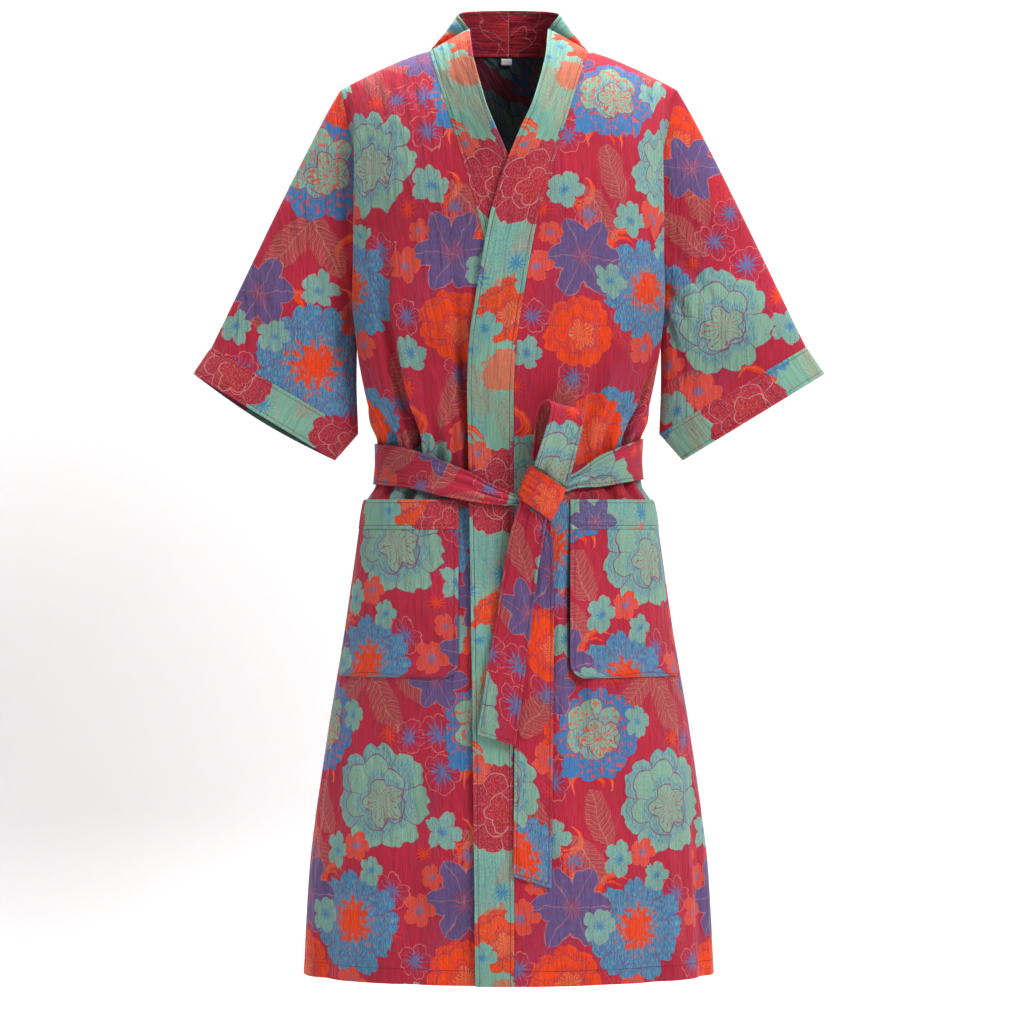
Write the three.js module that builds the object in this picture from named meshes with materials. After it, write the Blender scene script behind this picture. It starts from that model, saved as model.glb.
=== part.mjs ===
import * as THREE from 'three';

// A knee-length kimono robe, worn form with no wearer: crossed fronts, a back, wide half sleeves
// with cuff bands, one long neck band in four lengths that meet at the shoulder seams and the
// middle of the back, two patch pockets and a tied belt.
// Millimetres, +Z up. The fronts face -Y and +X is the wearer's left.
// The origin is the middle of the shoulder line, level with the neck ends of the shoulder seams.

const DEG = Math.PI / 180;

// Cloth and seams
const CLOTH = 1.6;
const DOUBLED_CLOTH = 2.4;
const BELT_CLOTH = 2.8;
const LABEL_CLOTH = 0.9;
const SEAM_GAP = 0.4;

// Body
const HEM_Z = -1133;
const UNDERARM_Z = -305;
const CHEST_Z = -220;
const SHOULDER_STEPS = 8;
const SHOULDER_X = 207;
const SHOULDER_DROP = 47;
const SHOULDER_ROUND = 1.25;
const NECK_X = 98;
const NECK_DEPTH = 78;
const NECK_RISE = 3;
const NECK_SHARE = 0.47;
const NECK_STEPS = 6;
const EDGE_BEND = 1.03;
const SIDE_BEND = 1.3;
const ARMHOLE_HALF = 24;
const TUCK_START = 62 * DEG;
const SIDE = 90 * DEG;

// Columns of the panels, and how near two of them may stand as shares of an even step
const FRONT_COLUMNS = 14;
const BACK_SHOULDER_COLUMNS = 7;
const DEEP_FOLD = 10;
const FOLD_COLUMN_GAP = 0.4;
const EVEN_COLUMN_GAP = 0.5;

// The wearer's left front lies over the right one by this much, out to the fade
const OVERLAP_LIFT = 7;
const OVERLAP_FULL_X = 60;
const OVERLAP_FADE = 60;
const OVERLAP_END_RISE = 0.5;

// Neck band
const BAND_SIDE_RISE = 49;
const BAND_BACK_RISE = 84;
const BAND_TURN_BEND = 0.8;
const BAND_CELLS = 4;

// Sleeves and cuffs
const SLEEVE_STEPS = 10;
const SLEEVE_HALF = 28;
const SLEEVE_BLEND = 0.45;
const LENS_POWER = 0.6;
const CUFF_STEPS = 2;
const CUFF_PROUD = 1.2;

// Belt
const BELT_Z = -504;
const BELT_RIGHT_Z = -507;
const BELT_LEFT_Z = -501;
const BELT_CLEAR = 3.4;
const BELT_HALF = 25;

// Widths and depths of the body at each level; tuck is how far the side seam is drawn in
const BODY_LEVELS = [
  { z: HEM_Z, half: 252, front: 142, back: 132, tuck: 0 },
  { z: -1010, half: 245, front: 140, back: 130, tuck: 0 },
  { z: -850, half: 224, front: 134, back: 124, tuck: 0 },
  { z: -752, half: 208, front: 128, back: 116, tuck: 0 },
  { z: -674, half: 195, front: 121, back: 109, tuck: 0 },
  { z: -600, half: 183, front: 113, back: 101, tuck: 0 },
  { z: -556, half: 176, front: 108, back: 96, tuck: 0 },
  { z: -533, half: 163, front: 99, back: 87, tuck: 0 },
  { z: BELT_Z, half: 160, front: 97, back: 85, tuck: 0 },
  { z: -480, half: 161, front: 98, back: 86, tuck: 0 },
  { z: -462, half: 168, front: 102, back: 88, tuck: 0 },
  { z: -430, half: 186, front: 109, back: 91, tuck: 14 },
  { z: -370, half: 202, front: 116, back: 95, tuck: 28 },
  { z: UNDERARM_Z, half: 210, front: 119, back: 94, tuck: 36 },
  { z: CHEST_Z, half: 212, front: 118, back: 93, tuck: 34 },
];

// Where the neck band is sewn to the front, and how wide the band is
const FRONT_EDGES = [
  { z: HEM_Z, x: 7, band: 47 },
  { z: -850, x: 6, band: 49 },
  { z: -600, x: 6, band: 53 },
  { z: -430, x: 6, band: 56 },
  { z: -367, x: 9, band: 57 },
  { z: -317, x: 16, band: 57 },
  { z: -256, x: 26, band: 57 },
  { z: CHEST_Z, x: 33, band: 57 },
  { z: 0, x: NECK_X, band: 58 },
];

// How far the neck band stands off the chest, in degrees, by the level of its seam
const BAND_LIFTS = [
  { z: -215, lift: 0 },
  { z: -185, lift: 6 },
  { z: -155, lift: 17 },
  { z: -125, lift: 28 },
  { z: -95, lift: 35 },
  { z: -50, lift: 36 },
  { z: -20, lift: 31 },
  { z: 0, lift: 26 },
];

// Rows of the body from the hem up, in runs of equal steps
const ROW_RUNS = [
  { to: -1118, steps: 1 },
  { to: -600, steps: 10 },
  { to: -556, steps: 2 },
  { to: -533, steps: 2 },
  { to: -480, steps: 2 },
  { to: -430, steps: 3 },
  { to: UNDERARM_Z, steps: 4 },
  { to: CHEST_Z, steps: 3 },
];

// Folds run down a panel. at: share of the panel's width from its first edge; reach: half width
// as a share; drift: how far the share moves down the fold's length; the rest are millimetres.
const RIGHT_FRONT_FOLDS = [
  { at: 0.5, reach: 0.065, depth: 23, top: -225, deepest: -450, bottom: -650, drift: 0 },
  { at: 0.16, reach: 0.048, depth: 17, top: -235, deepest: -440, bottom: -620, drift: 0.01 },
  { at: 0.35, reach: 0.06, depth: 6, top: -340, deepest: -492, bottom: -600, drift: 0 },
  { at: 0.68, reach: 0.07, depth: 8, top: -350, deepest: -490, bottom: -620, drift: 0 },
  { at: 0.86, reach: 0.06, depth: 6, top: -390, deepest: -500, bottom: -560, drift: 0 },
  { at: 0.3, reach: 0.1, depth: 6, top: -740, deepest: -1000, bottom: -1300, drift: 0 },
  { at: 0.7, reach: 0.12, depth: 7, top: -780, deepest: -1080, bottom: -1400, drift: 0 },
];
const LEFT_FRONT_FOLDS = [
  { at: 0.7, reach: 0.065, depth: 18, top: -310, deepest: -470, bottom: -600, drift: 0 },
  { at: 0.36, reach: 0.08, depth: 8, top: -280, deepest: -450, bottom: -590, drift: 0 },
  { at: 0.53, reach: 0.06, depth: 9, top: -370, deepest: -500, bottom: -690, drift: 0 },
  { at: 0.87, reach: 0.06, depth: 6, top: -390, deepest: -500, bottom: -560, drift: 0 },
  { at: 0.27, reach: 0.075, depth: 11, top: -530, deepest: -700, bottom: -1040, drift: -0.05 },
  { at: 0.5, reach: 0.1, depth: 6, top: -760, deepest: -1040, bottom: -1350, drift: 0 },
  { at: 0.8, reach: 0.1, depth: 7, top: -780, deepest: -1080, bottom: -1400, drift: 0 },
];
const BACK_FOLDS = [
  { at: 0.12, reach: 0.045, depth: 9, top: -350, deepest: -492, bottom: -640, drift: 0 },
  { at: 0.25, reach: 0.05, depth: 14, top: -300, deepest: -480, bottom: -680, drift: 0 },
  { at: 0.38, reach: 0.045, depth: 9, top: -340, deepest: -495, bottom: -700, drift: 0 },
  { at: 0.51, reach: 0.05, depth: 10, top: -250, deepest: -500, bottom: -820, drift: 0 },
  { at: 0.63, reach: 0.045, depth: 8, top: -350, deepest: -490, bottom: -650, drift: 0 },
  { at: 0.76, reach: 0.05, depth: 13, top: -300, deepest: -475, bottom: -700, drift: 0 },
  { at: 0.88, reach: 0.045, depth: 9, top: -360, deepest: -495, bottom: -630, drift: 0 },
  { at: 0.33, reach: 0.06, depth: 8, top: -760, deepest: -1060, bottom: -1400, drift: 0 },
  { at: 0.68, reach: 0.06, depth: 8, top: -800, deepest: -1090, bottom: -1450, drift: 0 },
];

// Sleeve edges seen from the front: the outer one from the shoulder point, the inner one from
// the underarm, both down to the cuff seam. share runs from the armhole to the cuff.
const SLEEVE_OUTER = [
  { share: 0, x: SHOULDER_X, z: -SHOULDER_DROP },
  { share: 0.12, x: 228, z: -84 },
  { share: 1, x: 365.5, z: -363.5 },
];
const SLEEVE_INNER = [
  { share: 0, x: 174, z: UNDERARM_Z },
  { share: 0.1, x: 183, z: -319 },
  { share: 0.3, x: 187, z: -346 },
  { share: 0.65, x: 188, z: -405 },
  { share: 1, x: 186, z: -469 },
];
const CUFF_OUTER = { x: 388, z: -396.5 };
const CUFF_INNER = { x: 215, z: -502 };

// Belt across the front, dipping to the knot; out and bulk thicken it where it is gathered
const BELT_DIP = [
  { x: -160, z: BELT_RIGHT_Z, half: BELT_HALF, out: 0, bulk: 0 },
  { x: -125, z: -512, half: 24, out: 0, bulk: 0 },
  { x: -50, z: -533, half: 18, out: 3.5, bulk: 1 },
  { x: -5, z: -549, half: 9, out: 5, bulk: 3 },
  { x: 10, z: -552, half: 6, out: 5, bulk: 3 },
  { x: 45, z: -541, half: 7, out: 5, bulk: 4 },
  { x: 73, z: -529, half: 9, out: 5, bulk: 3 },
  { x: 109, z: -516, half: 19, out: 2, bulk: 1 },
  { x: 160, z: BELT_LEFT_Z, half: BELT_HALF, out: 0, bulk: 0 },
];
const BELT_LINES = [
  { across: -1, crown: 0 },
  { across: -0.33, crown: 1 },
  { across: 0.33, crown: 0.6 },
  { across: 1, crown: 0 },
];
const BELT_START_X = 14;
const BELT_END_X = 62;
const BELT_CELLS = 52;

// Knot: a wrap of belt round the bundle; its own axis leans to the wearer's left
const KNOT = { x: 40.5, y: -134, z: -544 };
const KNOT_LEAN = 20 * DEG;
const KNOT_WRAP_SLOPE = 35 * DEG;
const KNOT_HALF_LENGTH = 21.5;
const KNOT_PROFILE = [
  { along: -1, swell: 0.84, shift: -1.5 },
  { along: -0.86, swell: 0.97, shift: -1 },
  { along: -0.52, swell: 0.93, shift: -0.5 },
  { along: -0.22, swell: 1.04, shift: 0 },
  { along: 0.1, swell: 0.96, shift: 0 },
  { along: 0.42, swell: 1.05, shift: 0.5 },
  { along: 0.7, swell: 0.95, shift: 1 },
  { along: 0.9, swell: 0.98, shift: 1 },
  { along: 1, swell: 0.86, shift: 1.5 },
];
const KNOT_SECTION = [
  { across: 25, out: 0 },
  { across: 21, out: 9 },
  { across: 11, out: 14.5 },
  { across: -3, out: 16.5 },
  { across: -14, out: 15 },
  { across: -25, out: 7 },
  { across: -28.5, out: -1 },
  { across: -21, out: -8 },
  { across: -6, out: -10.5 },
  { across: 9, out: -10.5 },
  { across: 20, out: -7 },
];

// Loop of the bow: up behind the knot, over and down in front. out is measured from the knot's
// middle, yaw turns the strap's width away from the front, roll tips it.
const LOOP_ROWS = [
  { x: 46, z: -515.5, out: -5, yaw: 24, roll: 33 },
  { x: 49, z: -494, out: -6, yaw: 30, roll: 20 },
  { x: 50.5, z: -471, out: -7, yaw: 34, roll: 14 },
  { x: 53, z: -452, out: -4, yaw: 35, roll: 12 },
  { x: 58, z: -441, out: 4, yaw: 35, roll: 12 },
  { x: 64.5, z: -438, out: 14, yaw: 35, roll: 12 },
  { x: 70, z: -445, out: 22, yaw: 34, roll: 13 },
  { x: 68, z: -460, out: 24, yaw: 32, roll: 14 },
  { x: 62, z: -482, out: 21, yaw: 28, roll: 17 },
  { x: 56, z: -504, out: 15, yaw: 22, roll: 24 },
  { x: 50.5, z: -523.5, out: 8, yaw: 12, roll: 34 },
];
const LOOP_STEPS = 20;
const STRAP_CELLS = 3;
const LOOP_HALF_WIDTH = 24;

// Belt ends below the knot; each row gives the middle, half width and how far the end stands out
const TAIL_FRONT_ROWS = [
  { x: 30, z: -563, half: 16, out: 10 },
  { x: 21, z: -600, half: 19.5, out: 10 },
  { x: 14, z: -640, half: 20.5, out: 9.5 },
  { x: 7, z: -690, half: 21.5, out: 9 },
  { x: -2, z: -750, half: 22.5, out: 9 },
  { x: -9, z: -800, half: 23, out: 9 },
  { x: -15, z: -838, half: 23, out: 9.5 },
];
const TAIL_BACK_ROWS = [
  { x: 37, z: -568, half: 14, out: 4.2 },
  { x: 35, z: -605, half: 19, out: 4.2 },
  { x: 32, z: -660, half: 22, out: 4.2 },
  { x: 31, z: -740, half: 23, out: 4.2 },
  { x: 30, z: -840, half: 23, out: 4.2 },
  { x: 29, z: -940, half: 23, out: 4.2 },
  { x: 28, z: -1008, half: 23, out: 4.5 },
];
const TAIL_CUT_DROP = 14;
const TAIL_TOP_SLANT = Math.tan(KNOT_WRAP_SLOPE);
const TAIL_SLANT_FADE = 6;
const TAIL_STEPS = 14;
const TAIL_SWING = 1.4;
const TAIL_FRONT_KNOT_Y = -139;
const TAIL_BACK_KNOT_Y = -131;

// Pockets: the outer edge is an angle round the body
const POCKET_TOP_Z = -587;
const POCKET_BOTTOM_Z = -766;
const POCKET_BAND_TOP_Z = -551;
const POCKET_OUTER = 81 * DEG;
const POCKET_CORNER = 20;
const POCKET_EDGE_CLEAR = 2.1;
const POCKET_MOUTH_CLEAR = 9.5;
const POCKET_CORNER_CLEAR = 5;
const POCKET_BELLY_POWER = 0.8;
const POCKET_CELLS = 9;
const POCKET_ROWS = [0, 0.03, 0.07, 0.12, 0.3, 0.5, 0.7, 0.86, 1];
const POCKET_BAND_ROWS = [0, 0.5, 1];

// Neck label
const LABEL = { x: -3, top: 1, bottom: -7.5, half: 6.8 };

// What differs between the wearer's two sides; pocketX is where the pocket's inner edge stands
const SIDES = [
  { name: 'right', side: -1, folds: RIGHT_FRONT_FOLDS, pocketX: 60 },
  { name: 'left', side: 1, folds: LEFT_FRONT_FOLDS, pocketX: 72 },
];

const COLOURS = { ground: 0xc23a58, leaf: 0x84b59c, flower: 0xe0602f, label: 0x23262e };
const ROUGHNESS = 0.85;

// A value between the rows of a table, smooth and never past its neighbours
function lookUp(table, key, name, at) {
  const last = table.length - 1;
  if (at <= table[0][key]) return table[0][name];
  if (at >= table[last][key]) return table[last][name];
  const i = table.findIndex((row) => row[key] > at) - 1;
  const slope = (k) => {
    const step = table[k + 1][key] - table[k][key];
    return (table[k + 1][name] - table[k][name]) / step;
  };
  const tangent = (k) => {
    if (k === 0) return slope(0);
    if (k === last) return slope(last - 1);
    const before = slope(k - 1);
    const after = slope(k);
    return before * after <= 0 ? 0 : (2 * before * after) / (before + after);
  };
  const span = table[i + 1][key] - table[i][key];
  const f = (at - table[i][key]) / span;
  const f2 = f * f;
  const f3 = f2 * f;
  return (2 * f3 - 3 * f2 + 1) * table[i][name]
    + (f3 - 2 * f2 + f) * span * tangent(i)
    + (3 * f2 - 2 * f3) * table[i + 1][name]
    + (f3 - f2) * span * tangent(i + 1);
}

function smooth(value) {
  const f = Math.min(1, Math.max(0, value));
  return f * f * (3 - 2 * f);
}

function mix(a, b, f) {
  return a + (b - a) * f;
}

// Level of the shoulder line at a distance from the centre
function shoulderZ(x) {
  const f = Math.max(0, (x - NECK_X) / (SHOULDER_X - NECK_X));
  return -SHOULDER_DROP * f ** SHOULDER_ROUND;
}

// Angle round the body where a panel ends: the side seam, or the armhole edge above it
function endAngle(z, depth) {
  if (z <= UNDERARM_Z) return SIDE;
  const rise = Math.min(1, (CHEST_Z - z) / (CHEST_Z - UNDERARM_Z));
  return Math.acos((ARMHOLE_HALF * Math.cos(rise * SIDE)) / depth);
}

// Half section of the body at a level, as a point with its outward direction.
// face is -1 for the front and 1 for the back; side is 1 for the wearer's left.
function sectionPoint(face, side, z, angle) {
  const half = lookUp(BODY_LEVELS, 'z', 'half', z);
  const depth = lookUp(BODY_LEVELS, 'z', face < 0 ? 'front' : 'back', z);
  const end = endAngle(z, depth);
  const drawnIn = smooth((angle - TUCK_START) / (end - TUCK_START));
  const tuck = lookUp(BODY_LEVELS, 'z', 'tuck', z) * drawnIn;
  const at = new THREE.Vector3(
    side * (half * Math.sin(angle) - tuck),
    face * depth * Math.cos(angle),
    z,
  );
  const out = new THREE.Vector3(
    side * depth * Math.sin(angle),
    face * half * Math.cos(angle),
    0,
  ).normalize();
  return { at, out };
}

// Body rows: level below the chest, then a share of the quarter turn over the shoulder
function bodyRows() {
  const rows = [{ z: HEM_Z, turn: 0 }];
  let from = HEM_Z;
  for (const run of ROW_RUNS) {
    for (let i = 1; i <= run.steps; i += 1) {
      rows.push({ z: mix(from, run.to, i / run.steps), turn: 0 });
    }
    from = run.to;
  }
  for (let i = 1; i <= SHOULDER_STEPS; i += 1) {
    rows.push({ z: CHEST_Z, turn: (i / SHOULDER_STEPS) * SIDE });
  }
  return rows;
}

// Point of the body on a row, moved out by away. top is where that column ends, on the shoulder
// or the neck, and bend is how fast the column turns towards it.
function bodyPoint(face, side, row, angle, top, away, bend = SIDE_BEND) {
  const { at, out } = sectionPoint(face, side, row.z, angle);
  const rise = Math.sin(row.turn);
  const level = Math.cos(row.turn);
  const point = new THREE.Vector3(
    mix(at.x, top.x, rise ** bend),
    mix(top.y, at.y, level),
    mix(at.z, top.z, rise),
  );
  out.multiplyScalar(level);
  out.z = rise;
  return point.addScaledVector(out.normalize(), away);
}

// Depth of all folds at a share of a panel's width
function foldDepth(folds, share, z) {
  let depth = 0;
  for (const fold of folds) {
    const rising = smooth((fold.top - z) / (fold.top - fold.deepest));
    const falling = smooth((z - fold.bottom) / (fold.deepest - fold.bottom));
    const along = (fold.top - z) / (fold.top - fold.bottom);
    const off = Math.abs(share - fold.at - fold.drift * along) / fold.reach;
    if (off < 1) depth += fold.depth * rising * falling * (0.5 + 0.5 * Math.cos(off * Math.PI));
  }
  return depth;
}

// Shares of a panel's width where its columns stand: even, and closer at the deep folds
function columnShares(count, folds) {
  const marks = [];
  for (const fold of folds.filter(({ depth }) => depth > DEEP_FOLD)) {
    for (const k of [-1, -0.5, 0, 0.5, 1]) marks.push(fold.at + k * fold.reach);
  }
  const near = FOLD_COLUMN_GAP / count;
  const shares = marks.filter((m, i) => marks.findIndex((o) => Math.abs(o - m) < near) === i);
  for (let i = 0; i <= count; i += 1) {
    const share = i / count;
    const isEnd = i === 0 || i === count;
    const isClear = shares.every((m) => Math.abs(m - share) > EVEN_COLUMN_GAP / count);
    if (isEnd || isClear) shares.push(share);
  }
  return shares.sort((a, b) => a - b);
}

// A sheet is a grid of points on the middle of the cloth, row by row.
// fixed holds rim directions that two sheets share along a seam.
function makeSheet(grid, wraps = false) {
  return { grid, wraps, fixed: new Map(), sign: 1 };
}

function sheetNormal(sheet, r, c) {
  const key = `${r},${c}`;
  if (sheet.fixed.has(key)) return sheet.fixed.get(key).clone();
  const { grid, wraps } = sheet;
  const rows = grid.length;
  const columns = grid[0].length;
  const left = wraps ? (c + columns - 1) % columns : Math.max(0, c - 1);
  const right = wraps ? (c + 1) % columns : Math.min(columns - 1, c + 1);
  const along = grid[r][right].clone().sub(grid[r][left]);
  const up = grid[Math.min(rows - 1, r + 1)][c].clone().sub(grid[Math.max(0, r - 1)][c]);
  return along.cross(up).normalize().multiplyScalar(sheet.sign);
}

// Turns a sheet's directions so that they point the way of a given vector at one of its points
function orient(sheet, r, c, toward) {
  if (sheetNormal(sheet, r, c).dot(toward) < 0) sheet.sign = -sheet.sign;
  return sheet;
}

// Edge of a sheet: its points, and the next points inside the sheet
function edgeOf(sheet, cells, inward) {
  return cells.map(([r, c]) => ({
    sheet,
    key: `${r},${c}`,
    at: sheet.grid[r][c],
    inner: sheet.grid[r + inward[0]][c + inward[1]],
    normal: sheetNormal(sheet, r, c),
  }));
}

// Brings two edges that share a line to one mitre, a seam gap apart
function sew(first, second) {
  const line = first.map((e) => e.at.clone());
  const firstIn = first.map((e) => e.inner.clone());
  const secondIn = second.map((e) => e.inner.clone());
  line.forEach((at, i) => {
    const next = line[Math.min(i + 1, line.length - 1)];
    const previous = line[Math.max(i - 1, 0)];
    const run = next.clone().sub(previous).normalize();
    const flat = (v) => v.addScaledVector(run, -v.dot(run)).normalize();
    const before = flat(at.clone().sub(firstIn[i]));
    const after = flat(secondIn[i].clone().sub(at));
    const across = before.add(after).normalize();
    const normal = run.clone().cross(across).normalize();
    if (normal.dot(first[i].normal) < 0) normal.negate();
    first[i].at.copy(at).addScaledVector(across, -SEAM_GAP / 2);
    second[i].at.copy(at).addScaledVector(across, SEAM_GAP / 2);
    first[i].sheet.fixed.set(first[i].key, normal);
    second[i].sheet.fixed.set(second[i].key, normal);
  });
}

// Flattens rim points onto a plane through the seam, half a gap from it
function trimToPlane(sheet, cells, axis, value) {
  for (const [r, c] of cells) {
    const normal = sheetNormal(sheet, r, c);
    normal[axis] = 0;
    sheet.fixed.set(`${r},${c}`, normal.normalize());
    sheet.grid[r][c][axis] = value;
  }
}

// Two sheets from one, cut at a row that both keep
function cutAtRow(sheet, row) {
  const lower = makeSheet(sheet.grid.slice(0, row + 1));
  const upper = makeSheet(sheet.grid.slice(row).map((line) => line.map((p) => p.clone())));
  lower.sign = sheet.sign;
  upper.sign = sheet.sign;
  return [lower, upper];
}

// Closed body from a list of corners and faces, turned so that its faces point out
function closedMesh(name, corners, faces, material) {
  let volume = 0;
  const normal = new THREE.Vector3();
  for (const [a, b, c] of faces) {
    volume += corners[a].dot(normal.copy(corners[b]).cross(corners[c]));
  }
  const turned = volume < 0 ? faces.map(([a, b, c]) => [a, c, b]) : faces;
  const geometry = new THREE.BufferGeometry();
  const positions = corners.flatMap((p) => [p.x, p.y, p.z]);
  geometry.setAttribute('position', new THREE.Float32BufferAttribute(positions, 3));
  geometry.setIndex(turned.flat());
  geometry.computeVertexNormals();
  const mesh = new THREE.Mesh(geometry, material);
  mesh.name = name;
  return mesh;
}

// Cloth of even thickness on a sheet, with closed rims
function clothMesh(name, sheet, thickness, material) {
  const { grid, wraps } = sheet;
  const rows = grid.length;
  const columns = grid[0].length;
  const corners = [];
  for (const side of [0.5, -0.5]) {
    grid.forEach((line, r) => line.forEach((point, c) => {
      corners.push(point.clone().addScaledVector(sheetNormal(sheet, r, c), side * thickness));
    }));
  }
  const index = (layer, r, c) => layer * rows * columns + r * columns + (c % columns);
  const faces = [];
  const quad = (a, b, c, d) => faces.push([a, b, c], [a, c, d]);
  const lastColumn = wraps ? columns : columns - 1;
  for (let r = 0; r < rows - 1; r += 1) {
    for (let c = 0; c < lastColumn; c += 1) {
      quad(index(0, r, c), index(0, r, c + 1), index(0, r + 1, c + 1), index(0, r + 1, c));
      quad(index(1, r, c), index(1, r + 1, c), index(1, r + 1, c + 1), index(1, r, c + 1));
    }
  }
  for (let c = 0; c < lastColumn; c += 1) {
    quad(index(0, 0, c), index(1, 0, c), index(1, 0, c + 1), index(0, 0, c + 1));
    const top = rows - 1;
    quad(index(0, top, c), index(0, top, c + 1), index(1, top, c + 1), index(1, top, c));
  }
  for (let r = 0; r < rows - 1 && !wraps; r += 1) {
    const edge = columns - 1;
    quad(index(0, r, 0), index(0, r + 1, 0), index(1, r + 1, 0), index(1, r, 0));
    quad(index(0, r, edge), index(1, r, edge), index(1, r + 1, edge), index(0, r + 1, edge));
  }
  return closedMesh(name, corners, faces, material);
}

// Solid through closed rings, with both ends capped
function loftMesh(name, rings, material) {
  const count = rings[0].length;
  const corners = rings.flat().map((p) => p.clone());
  const faces = [];
  for (let r = 0; r < rings.length - 1; r += 1) {
    for (let c = 0; c < count; c += 1) {
      const a = r * count + c;
      const b = r * count + ((c + 1) % count);
      faces.push([a, b, b + count], [a, b + count, a + count]);
    }
  }
  for (const [r, flip] of [[0, true], [rings.length - 1, false]]) {
    const middle = new THREE.Vector3();
    rings[r].forEach((p) => middle.addScaledVector(p, 1 / count));
    corners.push(middle);
    const hub = corners.length - 1;
    for (let c = 0; c < count; c += 1) {
      const a = r * count + c;
      const b = r * count + ((c + 1) % count);
      faces.push(flip ? [hub, b, a] : [hub, a, b]);
    }
  }
  return closedMesh(name, corners, faces, material);
}

function frontEdgeAngle(z) {
  const half = lookUp(BODY_LEVELS, 'z', 'half', z);
  return Math.asin(lookUp(FRONT_EDGES, 'z', 'x', z) / half);
}

// Share of the overlap's stand-off at a distance from the middle
function coverAt(x) {
  return 1 - smooth((Math.abs(x) - OVERLAP_FULL_X) / OVERLAP_FADE);
}

// How far the upper front stands off the body where it lies over the under front
function overlapLift(side, row, x) {
  if (side < 0) return 0;
  const pastChest = (Math.sin(row.turn) - OVERLAP_END_RISE) / (1 - OVERLAP_END_RISE);
  return OVERLAP_LIFT * coverAt(x) * (1 - smooth(pastChest));
}

// One front: columns from the band seam to the side seam, rows from the hem to the shoulder
function frontSheet(side, folds) {
  const rows = bodyRows();
  const shares = columnShares(FRONT_COLUMNS, folds);
  const grid = rows.map((row) => shares.map((share) => {
    const depth = lookUp(BODY_LEVELS, 'z', 'front', row.z);
    const angle = mix(frontEdgeAngle(row.z), endAngle(row.z, depth), share);
    const topX = mix(NECK_X, SHOULDER_X, share);
    const top = new THREE.Vector3(side * topX, 0, shoulderZ(topX));
    const bend = mix(EDGE_BEND, SIDE_BEND, share);
    const flat = bodyPoint(-1, side, row, angle, top, 0, bend);
    const inward = row.turn > 0 ? 0 : foldDepth(folds, share, row.z);
    const away = overlapLift(side, row, Math.abs(flat.x)) - inward;
    return bodyPoint(-1, side, row, angle, top, away, bend);
  }));
  return orient(makeSheet(grid), 0, 1, new THREE.Vector3(0, -1, 0));
}

// The back: columns from the wearer's right side seam to the left one
function backSheet(folds) {
  const rows = bodyRows();
  const halfShares = [];
  for (let i = 0; i <= NECK_STEPS; i += 1) halfShares.push((NECK_SHARE * i) / NECK_STEPS);
  for (let i = 1; i <= BACK_SHOULDER_COLUMNS; i += 1) {
    halfShares.push(mix(NECK_SHARE, 1, i / BACK_SHOULDER_COLUMNS));
  }
  const mirrored = halfShares.slice(1).reverse().map((share) => -share);
  const shares = [...mirrored, ...halfShares];
  const grid = rows.map((row) => shares.map((share) => {
    const side = share < 0 ? -1 : 1;
    const part = Math.abs(share);
    const depth = lookUp(BODY_LEVELS, 'z', 'back', row.z);
    const angle = part * endAngle(row.z, depth);
    const top = new THREE.Vector3();
    if (part <= NECK_SHARE) {
      const turn = (part / NECK_SHARE) * SIDE;
      const rise = NECK_RISE * Math.cos(turn);
      top.set(side * NECK_X * Math.sin(turn), NECK_DEPTH * Math.cos(turn), rise);
    } else {
      const topX = mix(NECK_X, SHOULDER_X, (part - NECK_SHARE) / (1 - NECK_SHARE));
      top.set(side * topX, 0, shoulderZ(topX));
    }
    const inward = row.turn > 0 ? 0 : foldDepth(folds, 0.5 + share / 2, row.z);
    return bodyPoint(1, side, row, angle, top, -inward);
  }));
  return orient(makeSheet(grid), 0, mirrored.length, new THREE.Vector3(0, 1, 0));
}

// Half of the neck band: up the front, round the neck to the middle of the back
function bandSheet(side, front, back) {
  const seam = bodyRows().map((row, r) => ({
    at: front.grid[r][0].clone(),
    out: sheetNormal(front, r, 0),
    level: row.z,
  }));
  const neckEnd = seam.length - 1;
  const grid = seam.map((station, i) => {
    const next = seam[Math.min(i + 1, neckEnd)].at;
    const run = next.clone().sub(seam[Math.max(i - 1, 0)].at).normalize();
    const flatWay = run.clone().cross(station.out).normalize();
    if (flatWay.x * side > 0) flatWay.negate();
    const lift = lookUp(BAND_LIFTS, 'z', 'lift', station.at.z) * DEG;
    const way = flatWay.clone().multiplyScalar(Math.cos(lift));
    way.addScaledVector(station.out, Math.sin(lift));
    const half = lookUp(BODY_LEVELS, 'z', 'half', station.level);
    const depth = lookUp(BODY_LEVELS, 'z', 'front', station.level);
    const bodyBend = depth / (2 * half ** 2);
    const bend = bodyBend * (1 - smooth(lift / (BAND_SIDE_RISE * DEG)));
    const width = lookUp(FRONT_EDGES, 'z', 'band', station.at.z);
    return bandLine(station.at, way, station.out, width, bend);
  });
  const backTop = back.grid.length - 1;
  const middle = (back.grid[0].length - 1) / 2;
  for (let i = NECK_STEPS - 1; i >= 0; i -= 1) {
    const at = back.grid[backTop][middle + side * i].clone();
    const turn = (i / NECK_STEPS) * SIDE;
    const outward = new THREE.Vector3(
      side * NECK_DEPTH * Math.sin(turn),
      NECK_X * Math.cos(turn),
      0,
    ).normalize();
    const rise = mix(BAND_BACK_RISE, BAND_SIDE_RISE, (i / NECK_STEPS) ** BAND_TURN_BEND) * DEG;
    const way = outward.multiplyScalar(-Math.cos(rise));
    way.z = Math.sin(rise);
    const width = lookUp(FRONT_EDGES, 'z', 'band', 0);
    grid.push(bandLine(at, way, way, width, 0));
  }
  return orient(makeSheet(grid), 0, 1, new THREE.Vector3(0, -1, 0));
}

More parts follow.
